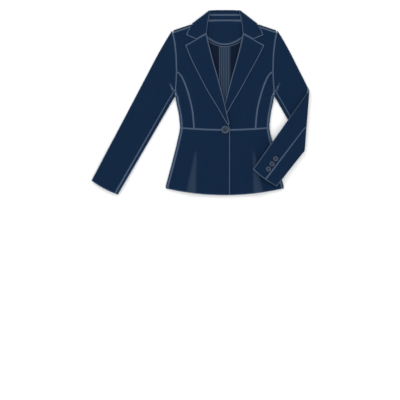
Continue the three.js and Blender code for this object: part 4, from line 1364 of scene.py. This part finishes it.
def linear(red, green, blue):
    """Shader colour from display values of 0 to 255."""
    share = np.array([red, green, blue]) / 255
    value = np.where(share <= 0.04045, share / 12.92, ((share + 0.055) / 1.055) ** 2.4)
    return (*value.tolist(), 1.0)


print("mid grey in the shader:", round(linear(128, 128, 128)[0], 3))

# %% [markdown]
# ## Cloth, lining and resin
#
# Twill has fine diagonal ribs: their height is a sine of weft minus warp. Two scales of noise give
# the worsted its melange. A pressed edge, whose nap the iron has flattened, is painted paler as a
# sheen, and the same tone gives the painted highlights on flutes, rolls and turned edges.

# %% Materials
# SLATE is the paler tone of the painted sheen on pressed edges and of the painted highlights.
NAVY, NAVY_LIGHT, SLATE = linear(11, 30, 53), linear(15, 36, 61), linear(75, 91, 112)
TWILL = 1.3  # pitch of the ribs, mm


def twill_cloth(name, dark, light, pale):
    """Matt suiting: ribs, melange, a soft sheen, a painted sheen on pressed edges and painted
    highlights.
    """
    material, shader, start = new_material(name)
    weft, warp = attribute(start, "weft"), attribute(start, "warp")
    place_at = start.node("ShaderNodeCombineXYZ", {0: weft, 1: warp})
    rib = ((weft - warp) * (2 * np.pi / TWILL)).math("SINE") * 0.5 + 0.5
    fine = start.node("ShaderNodeTexNoise", {"Vector": place_at, "Scale": 0.9, "Detail": 3.0})
    broad = start.node("ShaderNodeTexNoise", {"Vector": place_at, "Scale": 0.03, "Detail": 2.0})
    tone = rib * 0.35 + fine * 0.5 + broad * 0.5 - 0.25
    colour = mixed(start, tone, dark, light)
    colour = mixed(start, attribute(start, "pressed"), colour, pale)
    colour.put(shader["Base Color"])
    height = rib * 0.6 + fine * 0.4
    bump = start.node("ShaderNodeBump", {"Strength": 0.25, "Distance": 0.00012, "Height": height})
    bump.put(shader["Normal"])
    shader["Roughness"].default_value = 0.92
    shader["Specular IOR Level"].default_value = 0.05
    shader["Sheen Weight"].default_value = 0.03
    shader["Sheen Roughness"].default_value = 0.5
    return material


def satin(name, dark, light, stripes=0.0, edges=0.3):
    """Smooth lining with a faint lengthwise rib; stripes is the share of slate lines across it."""
    material, shader, start = new_material(name)
    weft = attribute(start, "weft")
    rib = ((weft - 1.7) * (2 * np.pi / 8.3)).math("COSINE") * 0.5 + 0.5
    # edges is the share of the painted sheen, a paler tone, along the pressed edges.
    share = rib**6 * stripes + attribute(start, "pressed") * edges
    mixed(start, share, dark, light).put(shader["Base Color"])
    shader["Roughness"].default_value = 0.6
    shader["Specular IOR Level"].default_value = 0.06
    shader["Anisotropic"].default_value = 0.4
    return material


def resin(name):
    """Polished button: a pale ring at the rim, a darker dish."""
    material, shader, start = new_material(name)
    reach = attribute(start, "reach")
    ring = (reach - 0.74).math("MULTIPLY", 12.0).math("MINIMUM", 1.0).math("MAXIMUM", 0.0)
    cloud = start.node("ShaderNodeTexNoise", {"Scale": 260.0, "Detail": 2.0})
    dish = mixed(start, cloud, linear(14, 26, 44), linear(26, 39, 59))
    mixed(start, ring, dish, linear(60, 75, 94)).put(shader["Base Color"])
    shader["Roughness"].default_value = 0.3
    shader["Specular IOR Level"].default_value = 0.4
    return material


def plain(name, colour, roughness):
    """One colour all over."""
    material, shader, _ = new_material(name)
    shader["Base Color"].default_value = colour
    shader["Roughness"].default_value = roughness
    shader["Specular IOR Level"].default_value = 0.15
    return material


SUITING = twill_cloth("Suiting", NAVY, NAVY_LIGHT, SLATE)
FACING = twill_cloth("Facing", linear(12, 31, 54), linear(16, 37, 62), SLATE)
SATIN = satin("Lining", linear(6, 19, 38), linear(11, 26, 46))
PIPING = satin("Piping", linear(13, 27, 46), SLATE, 0.0, 0.9)
PLEAT = satin("Pleat", linear(30, 44, 62), linear(68, 86, 108), 0.9, 0.2)
RESIN = resin("Resin")
THREAD = plain("Thread", linear(30, 46, 68), 0.7)
by_name = {"Back_neck_facing": FACING, "Collar_stand": FACING, "Neck_band": PIPING,
           "Lining_pleat": PLEAT, "Back_lining_right": SATIN, "Back_lining_left": SATIN}
for piece in shown:
    button = "utton" in piece.name
    piece.data.materials.append(RESIN if button else by_name.get(piece.name, SUITING))
for strand in threads.values():
    strand.data.materials.append(THREAD)
print("materials:", len(bpy.data.materials))

# %% [markdown]
# ## What each piece stands for
#
# Every piece rides on the one body and replaces the node of the same name. For each wall of
# cloth the cut that shows is printed: its width, its length and its flat area.

# %% Riding and cuts
RESTS_ON = {
    "Front": ["Back", "Side_back"], "Side_front": ["Side_back"], "Side_back": [],
    "Back": ["Collar"], "Top_sleeve": [], "Under_sleeve": [], "Lapel": ["Front"],
    "Peplum_front": ["Peplum_back"], "Peplum_back": [], "Collar": [], "Collar_stand": ["Collar"],
    "Back_neck_facing": ["Back_right", "Back_left"], "Neck_band": ["Back_right", "Back_left"],
    "Lining_pleat": ["Back_right", "Back_left"], "Back_lining": ["Back"],
}
LINED = ("Lining_pleat", "Back_lining_right", "Back_lining_left", "Neck_band")


def rest_names(name):
    """Pieces that carry this one; a piece of one side rests on those of the same side."""
    stem, _, hand = name.rpartition("_")
    if hand not in ("right", "left"):
        return RESTS_ON[name]
    known = {piece.name for piece in shown}
    carried = [f"{other}_{hand}" for other in RESTS_ON[stem]]
    return [full if full in known else full.rpartition("_")[0] for full in carried]


for piece in shown:
    name = piece.name
    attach(piece, "root")
    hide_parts(name.lower())
    if "utton" in name:
        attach(threads[name], "root")
        continue
    "lining" if name in LINED else "suiting"
    width, long, area = cuts[name]
    rest_names(name)
    print(f"{name}: {width * 1000:.0f} x {long * 1000:.0f} mm, {area * 1e4:.0f} cm2")

# %% [markdown]
# ## Floor, light and camera
#
# The garment is shown from straight above on a white ground, in light from all round, so that it
# has almost no shadow. The camera is far enough away that the outline hardly widens.

# %% Stage
bpy.ops.mesh.primitive_plane_add(size=9, location=(0, 0, -0.0005))
floor = bpy.context.object
floor.name = "Floor"
floor.data.materials.append(plain("Ground", (0.93, 0.93, 0.93, 1), 0.9))

world = bpy.data.worlds.new("Studio")
bpy.context.scene.world = world
world.use_nodes = True
world.node_tree.nodes["Background"].inputs[0].default_value = (1, 1, 1, 1)
world.node_tree.nodes["Background"].inputs[1].default_value = 1.1


def softbox(name, at, aim, size, watts):
    """A square area light that points at aim."""
    light = bpy.data.lights.new(name, "AREA")
    light.energy, light.size = watts, size
    lamp = bpy.data.objects.new(name, light)
    lamp.location = at
    lamp.rotation_euler = (Vector(aim) - Vector(at)).to_track_quat("-Z", "Y").to_euler()
    bpy.context.scene.collection.objects.link(lamp)


softbox("Key", (-1.6, 1.9, 2.2), (0, 0, 0), 2.0, 26)
softbox("Fill", (2.2, -1.6, 2.4), (0, 0, 0), 2.6, 10)

FRAME_WIDTH = 1.48  # the photo's width at the surface: 400 px of 3.7 mm
camera_data = bpy.data.cameras.new("Camera")
camera_data.sensor_width = 36.0
HEIGHT = 4.0
camera_data.lens = 36.0 * HEIGHT / FRAME_WIDTH
camera = bpy.data.objects.new("Camera", camera_data)
camera.location = (-0.0012, -0.360, HEIGHT)
bpy.context.scene.collection.objects.link(camera)
bpy.context.scene.camera = camera
bpy.context.scene.view_settings.view_transform = "Standard"
print("camera above the jacket, lens", round(camera_data.lens, 1), "mm")
